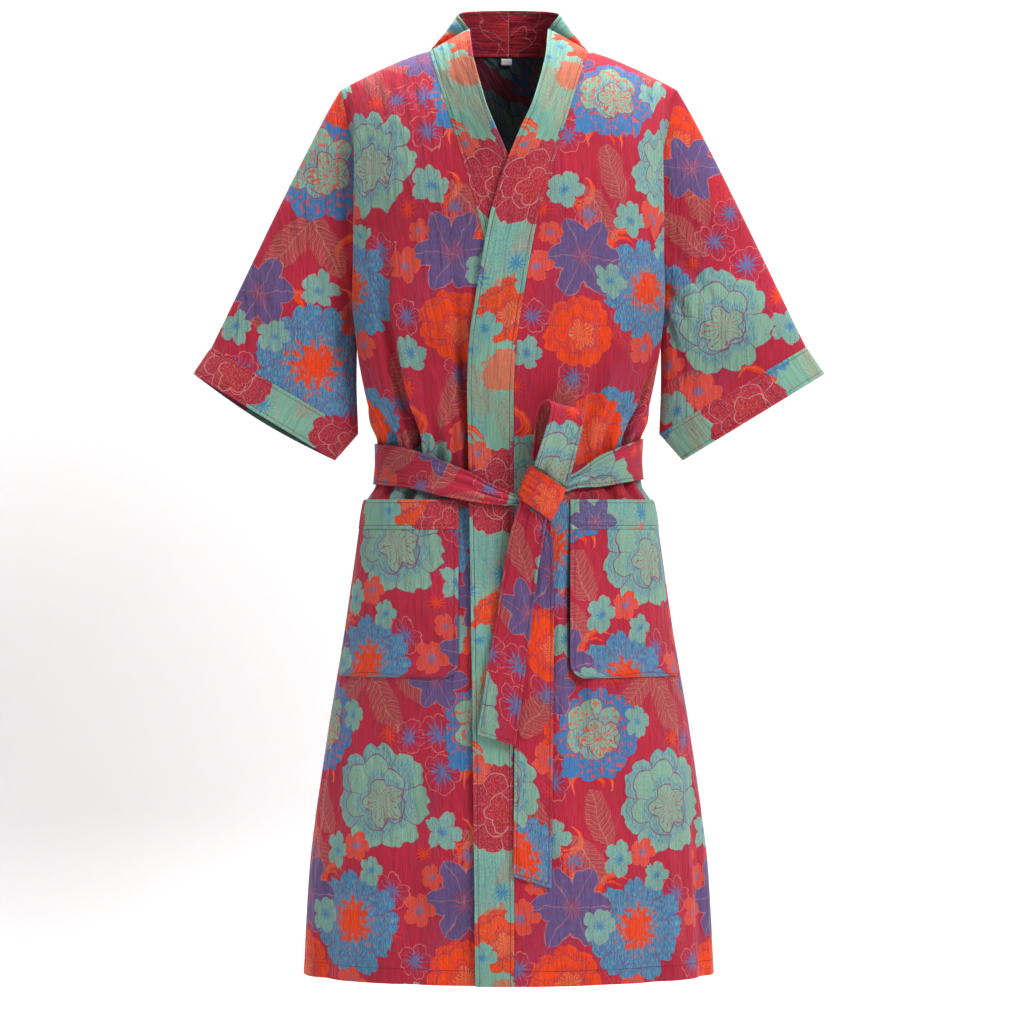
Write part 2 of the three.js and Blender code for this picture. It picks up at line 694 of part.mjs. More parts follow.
// One row of the band: from the seam along a direction, bent back by the square of the distance
function bandLine(at, way, out, width, bend) {
  const line = [];
  for (let c = 0; c <= BAND_CELLS; c += 1) {
    const w = (width * c) / BAND_CELLS;
    line.push(at.clone().addScaledVector(way, w).addScaledVector(out, -bend * w * w));
  }
  return line;
}

// Armhole ring of a side: down the front panel's edge from the shoulder, up the back panel's
function armholeCells(front, back, side) {
  const rows = bodyRows();
  const top = rows.length - 1;
  const underarm = rows.findIndex((row) => row.turn === 0 && row.z >= UNDERARM_Z - 0.5);
  const frontColumn = front.grid[0].length - 1;
  const backColumn = side > 0 ? back.grid[0].length - 1 : 0;
  const frontCells = [];
  const backCells = [];
  for (let r = top; r >= underarm; r -= 1) frontCells.push([r, frontColumn]);
  for (let r = underarm + 1; r < top; r += 1) backCells.push([r, backColumn]);
  return { frontCells, backCells, underarm, top, frontColumn, backColumn };
}

// Sleeve: rings from the armhole to the cuff seam
function sleeveSheet(side, front, back, cells) {
  const root = [
    ...cells.frontCells.map(([r, c]) => ({ at: front.grid[r][c], face: -1 })),
    ...cells.backCells.map(([r, c]) => ({ at: back.grid[r][c], face: 1 })),
  ];
  const shares = root.map(({ at }) => (-SHOULDER_DROP - at.z) / (-SHOULDER_DROP - UNDERARM_Z));
  const lens = (along, share, face) => {
    const outer = edgePoint(SLEEVE_OUTER, along);
    const inner = edgePoint(SLEEVE_INNER, along);
    const puff = mix(ARMHOLE_HALF, SLEEVE_HALF, along);
    return lensPoint(side, outer, inner, share, face, puff);
  };
  const grid = [];
  for (let i = 0; i <= SLEEVE_STEPS; i += 1) {
    const along = i / SLEEVE_STEPS;
    const keep = 1 - smooth(along / SLEEVE_BLEND);
    grid.push(root.map(({ at, face }, j) => {
      const start = at.clone().sub(lens(0, shares[j], face));
      return lens(along, shares[j], face).addScaledVector(start, keep);
    }));
  }
  const sheet = makeSheet(grid, true);
  return orient(sheet, SLEEVE_STEPS, 4, new THREE.Vector3(0, -1, 0));
}

// Point of a sleeve's edge seen from the front
function edgePoint(table, along) {
  return { x: lookUp(table, 'share', 'x', along), z: lookUp(table, 'share', 'z', along) };
}

function mixPoint(a, b, f) {
  return { x: mix(a.x, b.x, f), z: mix(a.z, b.z, f) };
}

// Point of a lens-shaped section between an outer and an inner edge
function lensPoint(side, outer, inner, share, face, puff) {
  const f = Math.min(1, Math.max(0, share));
  return new THREE.Vector3(
    side * mix(outer.x, inner.x, f),
    face * puff * (4 * f * (1 - f)) ** LENS_POWER,
    mix(outer.z, inner.z, f),
  );
}

// Cuff band: a doubled ring below the sleeve, a little proud of it
function cuffSheet(side, sleeve) {
  const end = sleeve.grid[SLEEVE_STEPS];
  const outerEnd = edgePoint(SLEEVE_OUTER, 1);
  const innerEnd = edgePoint(SLEEVE_INNER, 1);
  const seamLength = Math.hypot(outerEnd.x - innerEnd.x, outerEnd.z - innerEnd.z);
  const grid = [];
  for (let i = 0; i <= CUFF_STEPS; i += 1) {
    const along = i / CUFF_STEPS;
    const outer = mixPoint(outerEnd, CUFF_OUTER, along);
    const inner = mixPoint(innerEnd, CUFF_INNER, along);
    const puff = SLEEVE_HALF + CUFF_PROUD * along;
    grid.push(end.map((point) => {
      const share = Math.hypot(point.x - side * outerEnd.x, point.z - outerEnd.z) / seamLength;
      const face = point.y < 0 ? -1 : 1;
      return lensPoint(side, outer, inner, share, face, puff);
    }));
  }
  grid[0] = end.map((point) => point.clone());
  const sheet = makeSheet(grid, true);
  return orient(sheet, 1, 4, new THREE.Vector3(0, -1, 0));
}

// Outermost front surface where belt, tails and pockets lie
function frontSurface(x, z, away) {
  const side = x < 0 ? -1 : 1;
  const half = lookUp(BODY_LEVELS, 'z', 'half', z);
  const angle = Math.asin(Math.min(1, Math.abs(x) / half));
  const { at, out } = sectionPoint(-1, side, z, angle);
  return at.addScaledVector(out, OVERLAP_LIFT * coverAt(x) + away);
}

// Belt round the waist, open at the knot, gathered thicker and narrower towards it
function beltSheet() {
  const waist = lookUp(BODY_LEVELS, 'z', 'half', BELT_Z);
  const start = -Math.asin(BELT_START_X / waist);
  const end = 2 * Math.PI - Math.asin(BELT_END_X / waist);
  const grid = [];
  for (let i = 0; i <= BELT_CELLS; i += 1) {
    const turn = mix(start, end, i / BELT_CELLS);
    const onFront = Math.cos(turn) > 0;
    const x = -waist * Math.sin(turn);
    const backZ = mix(BELT_RIGHT_Z, BELT_LEFT_Z, 0.5 + x / (2 * waist));
    const middle = onFront ? lookUp(BELT_DIP, 'x', 'z', x) : backZ;
    const half = onFront ? lookUp(BELT_DIP, 'x', 'half', x) : BELT_HALF;
    const bulk = onFront ? lookUp(BELT_DIP, 'x', 'bulk', x) : 0;
    const standOff = onFront ? lookUp(BELT_DIP, 'x', 'out', x) + OVERLAP_LIFT * coverAt(x) : 0;
    const side = x < 0 ? -1 : 1;
    const face = onFront ? -1 : 1;
    const angle = Math.asin(Math.min(1, Math.abs(x) / waist));
    grid.push(BELT_LINES.map(({ across, crown }) => {
      const { at, out } = sectionPoint(face, side, middle + across * half, angle);
      return at.addScaledVector(out, BELT_CLEAR + standOff + bulk * crown);
    }));
  }
  return orient(makeSheet(grid), Math.floor(BELT_CELLS / 2), 1, new THREE.Vector3(0, 1, 0));
}

// The knot's wrap: creased rings round a leaning axis
function knotRings() {
  const axis = new THREE.Vector3(Math.sin(KNOT_LEAN), 0, Math.cos(KNOT_LEAN));
  const across = new THREE.Vector3(Math.cos(KNOT_WRAP_SLOPE), 0, -Math.sin(KNOT_WRAP_SLOPE));
  const centre = new THREE.Vector3(KNOT.x, KNOT.y, KNOT.z);
  return KNOT_PROFILE.map(({ along, swell, shift }) => KNOT_SECTION.map((corner) => {
    const point = centre.clone().addScaledVector(axis, along * KNOT_HALF_LENGTH);
    point.addScaledVector(across, (corner.across * (1 + swell)) / 2 + shift);
    point.y -= corner.out * swell;
    return point;
  }));
}

// The bow's loop: a strap that turns over at the top
function loopSheet() {
  const points = LOOP_ROWS.map((row) => new THREE.Vector3(row.x, KNOT.y - row.out, row.z));
  const path = new THREE.CatmullRomCurve3(points);
  const rows = LOOP_ROWS.map((row, i) => ({ ...row, share: i / (LOOP_ROWS.length - 1) }));
  const grid = [];
  for (let i = 0; i <= LOOP_STEPS; i += 1) {
    const share = i / LOOP_STEPS;
    const yaw = lookUp(rows, 'share', 'yaw', share) * DEG;
    const roll = lookUp(rows, 'share', 'roll', share) * DEG;
    const way = new THREE.Vector3(
      Math.cos(yaw) * Math.cos(roll),
      Math.sin(yaw) * Math.cos(roll),
      -Math.sin(roll),
    );
    const centre = path.getPoint(share);
    const line = [];
    for (let c = 0; c <= STRAP_CELLS; c += 1) {
      const across = (2 * c) / STRAP_CELLS - 1;
      line.push(centre.clone().addScaledVector(way, across * LOOP_HALF_WIDTH));
    }
    grid.push(line);
  }
  return orient(makeSheet(grid), LOOP_STEPS - 1, 1, new THREE.Vector3(0, -1, 0));
}

// A belt end hanging from the knot, cut on the slant
function tailSheet(table, knotY) {
  const top = table[0].z;
  const bottom = table[table.length - 1].z;
  const grid = [];
  const rising = [...table].reverse();
  for (let i = 0; i <= TAIL_STEPS; i += 1) {
    const share = i / TAIL_STEPS;
    const line = [];
    for (let c = 0; c <= STRAP_CELLS; c += 1) {
      const across = (2 * c) / STRAP_CELLS - 1;
      const level = mix(top, bottom, share);
      const reach = across * lookUp(rising, 'z', 'half', level);
      const x = lookUp(rising, 'z', 'x', level) + reach;
      const topSlant = TAIL_TOP_SLANT * reach * (1 - share) ** TAIL_SLANT_FADE;
      const cutSlant = (TAIL_CUT_DROP / 2) * across * share * share;
      const z = level - topSlant - cutSlant;
      const point = frontSurface(x, z, lookUp(rising, 'z', 'out', level));
      point.x = x;
      point.y = Math.min(point.y, mix(knotY, point.y, smooth(share * TAIL_SWING)));
      line.push(point);
    }
    grid.push(line);
  }
  return orient(makeSheet(grid), 1, 1, new THREE.Vector3(0, -1, 0));
}

// Patch pocket or its top band, on the front panel's own surface moved out
function pocketSheet(side, innerX, fromZ, toZ, shares, corner, cloth) {
  const grid = shares.map((share) => {
    const z = mix(fromZ, toZ, share);
    const half = lookUp(BODY_LEVELS, 'z', 'half', z);
    const rise = z - fromZ;
    const inset = rise < corner ? corner - Math.sqrt(corner ** 2 - (corner - rise) ** 2) : 0;
    const innerAngle = Math.asin((innerX + inset) / half);
    const outerAngle = POCKET_OUTER - inset / half;
    const openness = smooth((z - POCKET_BOTTOM_Z) / (POCKET_BAND_TOP_Z - POCKET_BOTTOM_Z));
    const line = [];
    for (let c = 0; c <= POCKET_CELLS; c += 1) {
      const f = c / POCKET_CELLS;
      const belly = Math.sin(f * Math.PI) ** POCKET_BELLY_POWER;
      const edge = mix(POCKET_EDGE_CLEAR, POCKET_CORNER_CLEAR, f * openness);
      const clear = mix(edge, POCKET_MOUTH_CLEAR, belly * openness) + (cloth - CLOTH) / 2;
      const angle = mix(innerAngle, outerAngle, f);
      const { at, out } = sectionPoint(-1, side, z, angle);
      const lift = side > 0 ? OVERLAP_LIFT * coverAt(at.x) : 0;
      line.push(at.addScaledVector(out, clear + lift));
    }
    return line;
  });
  return orient(makeSheet(grid), 1, 2, new THREE.Vector3(0, -1, 0));
}

// Label inside the back, just under the neck seam
function labelSheet() {
  const rows = [LABEL.bottom, LABEL.top];
  const depth = CLOTH / 2 + SEAM_GAP + LABEL_CLOTH / 2;
  const grid = rows.map((z) => [-1, 0, 1].map((c) => {
    const x = LABEL.x + c * LABEL.half;
    const turn = Math.asin(x / NECK_X);
    return new THREE.Vector3(x, NECK_DEPTH * Math.cos(turn) - depth, z);
  }));
  return orient(makeSheet(grid), 0, 1, new THREE.Vector3(0, -1, 0));
}

function clothMaterial(colour) {
  return new THREE.MeshStandardMaterial({ color: colour, roughness: ROUGHNESS, metalness: 0 });
}

function buildRobe() {
  const robe = new THREE.Group();
  const back = backSheet(BACK_FOLDS);
  const pieces = [];
  const addCloth = (name, sheet, thickness, colour) => {
    pieces.push(clothMesh(name, sheet, thickness, clothMaterial(colour)));
  };

  for (const { name, side, folds, pocketX } of SIDES) {
    const front = frontSheet(side, folds);
    const cells = armholeCells(front, back, side);
    const sleeve = sleeveSheet(side, front, back, cells);
    const cuff = cuffSheet(side, sleeve);
    const [band, neckBand] = cutAtRow(bandSheet(side, front, back), cells.top);
    const middle = (back.grid[0].length - 1) / 2;

    const frontCells = front.grid.map((_, r) => [r, 0]);
    const bandCells = band.grid.map((_, r) => [r, 0]);
    const neckCells = neckBand.grid.map((_, r) => [r, 0]);
    const backCells = [];
    for (let i = NECK_STEPS; i >= 0; i -= 1) backCells.push([cells.top, middle + side * i]);
    sew(edgeOf(front, frontCells, [0, 1]), edgeOf(band, bandCells, [0, 1]));
    sew(edgeOf(back, backCells, [-1, 0]), edgeOf(neckBand, neckCells, [0, 1]));

    const ring = sleeve.grid[0].map((_, c) => [0, c]);
    const frontCount = cells.frontCells.length;
    sew(
      edgeOf(front, cells.frontCells, [0, -1]),
      edgeOf(sleeve, ring.slice(0, frontCount), [1, 0]),
    );
    sew(
      edgeOf(back, cells.backCells, [0, -side]),
      edgeOf(sleeve, ring.slice(frontCount), [1, 0]),
    );
    const cuffRing = ring.map(([, c]) => [SLEEVE_STEPS, c]);
    sew(edgeOf(sleeve, cuffRing, [-1, 0]), edgeOf(cuff, ring, [1, 0]));

    const shoulderFront = front.grid[0].map((_, c) => [cells.top, c]);
    const shoulderBack = [];
    for (let c = middle + side * NECK_STEPS; c >= 0 && c < back.grid[0].length; c += side) {
      shoulderBack.push([cells.top, c]);
    }
    const sideFront = Array.from({ length: cells.underarm + 1 }, (_, r) => [r, cells.frontColumn]);
    const sideBack = Array.from({ length: cells.underarm + 1 }, (_, r) => [r, cells.backColumn]);
    trimToPlane(front, [...shoulderFront, ...sideFront], 'y', -SEAM_GAP / 2);
    trimToPlane(back, [...shoulderBack, ...sideBack], 'y', SEAM_GAP / 2);
    const bandEnd = band.grid[0].map((_, c) => [cells.top, c]);
    const neckStart = neckBand.grid[0].map((_, c) => [0, c]);
    const neckEnd = neckBand.grid[0].map((_, c) => [NECK_STEPS, c]);
    trimToPlane(band, bandEnd, 'y', -SEAM_GAP / 2);
    trimToPlane(neckBand, neckStart, 'y', SEAM_GAP / 2);
    trimToPlane(neckBand, neckEnd, 'x', (side * SEAM_GAP) / 2);

    const pocket = pocketSheet(
      side, pocketX, POCKET_BOTTOM_Z, POCKET_TOP_Z, POCKET_ROWS, POCKET_CORNER, CLOTH,
    );
    const pocketBand = pocketSheet(
      side, pocketX, POCKET_TOP_Z + SEAM_GAP, POCKET_BAND_TOP_Z, POCKET_BAND_ROWS, 0, DOUBLED_CLOTH,
    );
    addCloth(`front_${name}`, front, CLOTH, COLOURS.ground);
    addCloth(`sleeve_${name}`, sleeve, CLOTH, COLOURS.ground);
    addCloth(`cuff_${name}`, cuff, DOUBLED_CLOTH, COLOURS.leaf);
    addCloth(`collar_${name}`, band, DOUBLED_CLOTH, COLOURS.leaf);
    addCloth(`collar_neck_${name}`, neckBand, DOUBLED_CLOTH, COLOURS.leaf);
    addCloth(`pocket_${name}`, pocket, CLOTH, COLOURS.ground);
    addCloth(`pocket_band_${name}`, pocketBand, DOUBLED_CLOTH, COLOURS.leaf);
  }

  addCloth('back', back, CLOTH, COLOURS.ground);
  addCloth('belt_waist', beltSheet(), BELT_CLOTH, COLOURS.ground);
  addCloth('belt_loop', loopSheet(), BELT_CLOTH, COLOURS.leaf);
  addCloth('belt_tail_front', tailSheet(TAIL_FRONT_ROWS, TAIL_FRONT_KNOT_Y), BELT_CLOTH, COLOURS.ground);
  addCloth('belt_tail_back', tailSheet(TAIL_BACK_ROWS, TAIL_BACK_KNOT_Y), BELT_CLOTH, COLOURS.ground);
  addCloth('neck_label', labelSheet(), LABEL_CLOTH, COLOURS.label);
  pieces.push(loftMesh('belt_knot', knotRings(), clothMaterial(COLOURS.flower)));
  pieces.forEach((piece) => robe.add(piece));
  return robe;
}

export default buildRobe();
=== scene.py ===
import collections
import functools
import math

import bpy
import numpy as np
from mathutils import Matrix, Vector


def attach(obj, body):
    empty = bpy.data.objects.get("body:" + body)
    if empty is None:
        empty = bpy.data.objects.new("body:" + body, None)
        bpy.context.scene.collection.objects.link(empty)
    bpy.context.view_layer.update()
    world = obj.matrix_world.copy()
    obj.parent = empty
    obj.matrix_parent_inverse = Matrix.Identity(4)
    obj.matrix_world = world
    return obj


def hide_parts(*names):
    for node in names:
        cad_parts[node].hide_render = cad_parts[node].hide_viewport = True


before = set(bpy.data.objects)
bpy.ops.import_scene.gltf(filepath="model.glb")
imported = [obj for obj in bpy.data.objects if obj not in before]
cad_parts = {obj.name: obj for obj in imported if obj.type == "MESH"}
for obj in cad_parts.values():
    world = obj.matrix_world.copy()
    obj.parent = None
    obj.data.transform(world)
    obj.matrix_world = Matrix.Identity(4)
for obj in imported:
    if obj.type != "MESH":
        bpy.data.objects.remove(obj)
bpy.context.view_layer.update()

bl_info = {
    "name": "Kimono robe",
    "version": (1, 0, 0),
    "blender": (4, 5, 0),
    "location": "3D View > Sidebar > Robe",
    "description": "Makes a printed cotton gauze kimono robe, tied at the waist",
    "category": "Add Mesh",
}

MM = 0.001
DEG = math.pi / 180
SIDE = 90 * DEG

# Levels, widths and angles of the robe, in millimetres, as in the part's own source
HEM_Z = -1133
UNDERARM_Z = -305
CHEST_Z = -220
SHOULDER_X = 207
SHOULDER_DROP = 47
SHOULDER_ROUND = 1.25
NECK_X = 98
NECK_DEPTH = 78
NECK_RISE = 3
NECK_SHARE = 0.47
EDGE_BEND = 1.03
SIDE_BEND = 1.3
ARMHOLE_HALF = 24
TUCK_START = 62 * DEG
OVERLAP_LIFT = 7
OVERLAP_FULL_X = 60
OVERLAP_FADE = 60
OVERLAP_END_RISE = 0.5
BAND_SIDE_RISE = 49
BAND_BACK_RISE = 84
BAND_TURN_BEND = 0.8
SLEEVE_HALF = 28
SLEEVE_BLEND = 0.45
LENS_POWER = 0.6
CUFF_BACK_DROP = 0.16
STITCH_DENT = 0.3
STITCH_REACH = 0.9
END_SHARES = (0.82, 0.5, 0.15)
END_LEAN = 0.06
LABEL_BEHIND = 1.65
CUFF_PROUD = 1.2
BELT_Z = -504
BELT_RIGHT_Z = -507
BELT_LEFT_Z = -501
BELT_CLEAR = 3.4
BELT_HALF = 25
BELT_START_X = 14
BELT_END_X = 62
KNOT = np.array([40.5, -134.0, -544.0])
KNOT_LEAN = 20 * DEG
KNOT_WRAP_SLOPE = 35 * DEG
KNOT_HALF_LENGTH = 21.5
LOOP_HALF_WIDTH = 24
TAIL_CUT_DROP = 14
TAIL_TOP_SLANT = math.tan(KNOT_WRAP_SLOPE)
TAIL_SLANT_FADE = 6
TAIL_SWING = 1.4
TAIL_FRONT_KNOT_Y = -139
TAIL_BACK_KNOT_Y = -131
POCKET_TOP_Z = -587
POCKET_BOTTOM_Z = -766
POCKET_BAND_TOP_Z = -551
POCKET_OUTER = 81 * DEG
POCKET_CORNER = 20
POCKET_EDGE_CLEAR = 1.7
POCKET_MOUTH_CLEAR = 9.5
POCKET_CORNER_CLEAR = 4.6
POCKET_BELLY_POWER = 0.8

# How long or wide the cloth of each piece is, in millimetres, to set how many cells it has
FRONT_WIDTH = 300
BACK_NECK_HALF = 150
BACK_OUTER_WIDTH = 160
SHOULDER_TURN = 250
SLEEVE_LENGTH = 330
SLEEVE_DEPTH = 190
CUFF_WIDTH = 42
NECK_BAND_WIDTH = 58
BELT_LENGTH = 840
BELT_WIDTH = 50
LOOP_LENGTH = 250
LOOP_WIDTH = 48
TAIL_WIDTH = 46
POCKET_WIDTH = 165
POCKET_HEIGHT = 180
POCKET_BAND_HEIGHT = 36
KNOT_RINGS = 49
KNOT_AROUND = 120

# Where the two cells beside a rim end, as shares of the panel or of a turn
RIM_NEAR = 0.0015
RIM_FAR = 0.004


class Table:
    """Rows of numbers under named columns, read smoothly between rows by the first column."""

    def __init__(self, names, *rows):
        self.names = names.split()
        values = np.array(rows, dtype=float)
        self.columns = {name: values[:, i] for i, name in enumerate(self.names)}

    def rows(self):
        count = len(self.columns[self.names[0]])
        return [{name: self.columns[name][i] for name in self.names} for i in range(count)]

    def at(self, name, where):
        x = self.columns[self.names[0]]
        y = self.columns[name]
        steps = np.diff(x)
        slopes = np.diff(y) / steps
        tangents = np.concatenate([slopes[:1], np.zeros(len(x) - 2), slopes[-1:]])
        product = slopes[:-1] * slopes[1:]
        total = slopes[:-1] + slopes[1:]
        inner = np.where(product > 0, 2 * product / np.where(total == 0, 1, total), 0)
        tangents[1:-1] = inner
        where = np.clip(np.asarray(where, dtype=float), x[0], x[-1])
        i = np.clip(np.searchsorted(x, where, side="right") - 1, 0, len(x) - 2)
        f = (where - x[i]) / steps[i]
        f2 = f * f
        f3 = f2 * f
        return (
            (2 * f3 - 3 * f2 + 1) * y[i]
            + (f3 - 2 * f2 + f) * steps[i] * tangents[i]
            + (3 * f2 - 2 * f3) * y[i + 1]
            + (f3 - f2) * steps[i] * tangents[i + 1]
        )


# Widths and depths of the body at each level; tuck is how far the side seam is drawn in
BODY = Table(
    "z half front back tuck",
    (HEM_Z, 252, 142, 132, 0),
    (-1010, 245, 140, 130, 0),
    (-850, 224, 134, 124, 0),
    (-752, 208, 128, 116, 0),
    (-674, 195, 121, 109, 0),
    (-600, 183, 113, 101, 0),
    (-556, 176, 108, 96, 0),
    (-533, 163, 99, 87, 0),
    (BELT_Z, 160, 97, 85, 0),
    (-480, 161, 98, 86, 0),
    (-462, 168, 102, 88, 0),
    (-430, 186, 109, 91, 14),
    (-370, 202, 116, 95, 28),
    (UNDERARM_Z, 210, 119, 94, 36),
    (CHEST_Z, 212, 118, 93, 34),
)

# Where the neck band is sewn to the front, and how wide the band is
EDGES = Table(
    "z x band",
    (HEM_Z, 7, 47),
    (-850, 6, 49),
    (-600, 6, 53),
    (-430, 6, 56),
    (-367, 9, 57),
    (-317, 16, 57),
    (-256, 26, 57),
    (CHEST_Z, 33, 57),
    (0, NECK_X, 58),
)

# How far the neck band stands off the chest, in degrees
BAND_LIFTS = Table(
    "z lift",
    (-215, 0),
    (-185, 6),
    (-155, 17),
    (-125, 28),
    (-95, 35),
    (-50, 36),
    (-20, 31),
    (0, 26),
)

FOLD_NAMES = "at reach depth top deepest bottom drift"

# Folds down a panel: share of its width, half width as a share, depth, three levels, and drift.
# The first ones are the folds of the solids, the rest are finer creases.
RIGHT_FRONT_FOLDS = Table(
    FOLD_NAMES,
    (0.5, 0.065, 23, -225, -450, -650, 0),
    (0.16, 0.048, 17, -235, -440, -620, 0.01),
    (0.35, 0.06, 6, -340, -492, -600, 0),
    (0.68, 0.07, 8, -350, -490, -620, 0),
    (0.86, 0.06, 6, -390, -500, -560, 0),
    (0.3, 0.1, 6, -740, -1000, -1300, 0),
    (0.7, 0.12, 7, -780, -1080, -1400, 0),
    (0.24, 0.03, 2.6, -330, -470, -545, 0.02),
    (0.42, 0.03, 2.4, -390, -480, -540, -0.01),
    (0.58, 0.035, 3.2, -300, -468, -550, 0.01),
    (0.77, 0.03, 2.8, -380, -475, -548, -0.02),
    (0.93, 0.03, 2.2, -330, -470, -545, 0),
    (0.08, 0.03, 1.8, -400, -480, -640, 0),
    (0.6, 0.05, 1.6, -120, -260, -420, -0.1),
    (0.36, 0.04, 1.4, -150, -300, -430, 0.03),
    (0.2, 0.05, 1.5, -640, -800, -1050, 0.04),
    (0.52, 0.05, 1.8, -770, -930, -1200, 0),
    (0.86, 0.05, 1.6, -760, -900, -1180, -0.03),
)
LEFT_FRONT_FOLDS = Table(
    FOLD_NAMES,
    (0.7, 0.065, 18, -310, -470, -600, 0),
    (0.36, 0.08, 8, -280, -450, -590, 0),
    (0.53, 0.06, 9, -370, -500, -690, 0),
    (0.87, 0.06, 6, -390, -500, -560, 0),
    (0.27, 0.075, 11, -530, -700, -1040, -0.05),
    (0.5, 0.1, 6, -760, -1040, -1350, 0),
    (0.8, 0.1, 7, -780, -1080, -1400, 0),
    (0.1, 0.03, 2.2, -390, -478, -560, 0.01),
    (0.21, 0.03, 2.8, -330, -470, -545, -0.01),
    (0.45, 0.03, 3.0, -360, -474, -540, 0.01),
    (0.61, 0.03, 2.6, -330, -470, -550, 0),
    (0.79, 0.03, 3.0, -350, -476, -548, 0.01),
    (0.94, 0.03, 2.4, -340, -470, -545, 0),
    (0.3, 0.05, 1.6, -130, -280, -410, 0.06),
    (0.62, 0.05, 1.8, -110, -250, -420, 0.04),
    (0.13, 0.045, 1.6, -620, -820, -1080, 0.03),
    (0.4, 0.05, 1.8, -640, -860, -1130, -0.02),
    (0.66, 0.05, 1.7, -790, -940, -1190, 0),
)
BACK_FOLDS = Table(
    FOLD_NAMES,
    (0.12, 0.045, 9, -350, -492, -640, 0),
    (0.25, 0.05, 14, -300, -480, -680, 0),
    (0.38, 0.045, 9, -340, -495, -700, 0),
    (0.51, 0.05, 10, -250, -500, -820, 0),
    (0.63, 0.045, 8, -350, -490, -650, 0),
    (0.76, 0.05, 13, -300, -475, -700, 0),
    (0.88, 0.045, 9, -360, -495, -630, 0),
    (0.33, 0.06, 8, -760, -1060, -1400, 0),
    (0.68, 0.06, 8, -800, -1090, -1450, 0),
    (0.06, 0.02, 2.4, -340, -476, -580, 0),
    (0.185, 0.022, 3.0, -380, -474, -570, 0.01),
    (0.315, 0.02, 2.6, -350, -478, -575, -0.01),
    (0.445, 0.022, 3.0, -320, -470, -590, 0),
    (0.57, 0.02, 2.4, -360, -478, -560, 0.01),
    (0.695, 0.022, 3.0, -330, -472, -580, 0),
    (0.82, 0.02, 2.6, -370, -476, -570, -0.01),
    (0.94, 0.02, 2.2, -340, -474, -575, 0),
    (0.3, 0.05, 2.0, -90, -240, -430, 0.04),
    (0.7, 0.05, 2.0, -80, -230, -420, -0.04),
    (0.15, 0.04, 1.8, -620, -820, -1080, 0.02),
    (0.5, 0.05, 1.6, -820, -960, -1180, 0),
    (0.85, 0.04, 1.8, -640, -840, -1100, -0.02),
)

# Sleeve edges seen from the front; share runs from the armhole to the cuff seam
SLEEVE_OUTER = Table(
    "share x z",
    (0, SHOULDER_X, -SHOULDER_DROP),
    (0.12, 228, -84),
    (1, 365.5, -363.5),
)
SLEEVE_INNER = Table(
    "share x z",
    (0, 174, UNDERARM_Z),
    (0.1, 183, -319),
    (0.3, 187, -346),
    (0.65, 188, -405),
    (1, 186, -469),
)
CUFF_OUTER = (388, -396.5)
CUFF_INNER = (215, -502)

# Creases of a sleeve. across: share of the way from the outer edge to the inner one, at the
# armhole end and at the cuff end; face: -1 front, 1 back; the last three are shares along it.
SLEEVE_CREASES = [
    dict(face=-1, start=0.92, end=0.5, reach=0.07, depth=3.2, top=0.0, deepest=0.3, bottom=0.8),
    dict(face=-1, start=0.72, end=0.28, reach=0.06, depth=2.2, top=0.05, deepest=0.4, bottom=0.95),
    dict(face=-1, start=0.98, end=0.75, reach=0.06, depth=2.6, top=0.1, deepest=0.45, bottom=1.0),
    dict(face=-1, start=0.35, end=0.12, reach=0.05, depth=1.6, top=0.15, deepest=0.5, bottom=0.9),
    dict(face=1, start=0.9, end=0.55, reach=0.07, depth=3.0, top=0.0, deepest=0.35, bottom=0.85),
    dict(face=1, start=0.65, end=0.3, reach=0.06, depth=2.4, top=0.1, deepest=0.45, bottom=0.95),
    dict(face=1, start=0.4, end=0.15, reach=0.05, depth=1.6, top=0.2, deepest=0.5, bottom=0.9),
]

# Belt across the front, dipping to the knot; out and bulk thicken it where it is gathered
BELT_DIP = Table(
    "x z half out bulk",
    (-160, BELT_RIGHT_Z, BELT_HALF, 0, 0),
    (-125, -512, 24, 0, 0),
    (-50, -533, 18, 3.5, 1),
    (-5, -549, 9, 5, 3),
    (10, -552, 6, 5, 3),
    (45, -541, 7, 5, 4),
    (73, -529, 9, 5, 3),
    (109, -516, 19, 2, 1),
    (160, BELT_LEFT_Z, BELT_HALF, 0, 0),
)
BELT_CROWN = Table("across crown", (-1, 0), (-0.33, 1), (0.33, 0.6), (1, 0))

KNOT_PROFILE = Table(
    "along swell shift",
    (-1, 0.84, -1.5),
    (-0.86, 0.97, -1),
    (-0.52, 0.93, -0.5),
    (-0.22, 1.04, 0),
    (0.1, 0.96, 0),
    (0.42, 1.05, 0.5),
    (0.7, 0.95, 1),
    (0.9, 0.98, 1),
    (1, 0.86, 1.5),
)
KNOT_SECTION = np.array([
    (25, 0), (21, 9), (11, 14.5), (-3, 16.5), (-14, 15), (-25, 7),
    (-28.5, -1), (-21, -8), (-6, -10.5), (9, -10.5), (20, -7),
], dtype=float)

LOOP = Table(
    "share x z out yaw roll",
    (0.0, 46, -515.5, -5, 24, 33),
    (0.1, 49, -494, -6, 30, 20),
    (0.2, 50.5, -471, -7, 34, 14),
    (0.3, 53, -452, -4, 35, 12),
    (0.4, 58, -441, 4, 35, 12),
    (0.5, 64.5, -438, 14, 35, 12),
    (0.6, 70, -445, 22, 34, 13),
    (0.7, 68, -460, 24, 32, 14),
    (0.8, 62, -482, 21, 28, 17),
    (0.9, 56, -504, 15, 22, 24),
    (1.0, 50.5, -523.5, 8, 12, 34),
)
TAIL_FRONT = Table(
    "z x half out",
    (-838, -15, 23, 9.5),
    (-800, -9, 23, 9),
    (-750, -2, 22.5, 9),
    (-690, 7, 21.5, 9),
    (-640, 14, 20.5, 9.5),
    (-600, 21, 19.5, 10),
    (-563, 30, 16, 10),
)
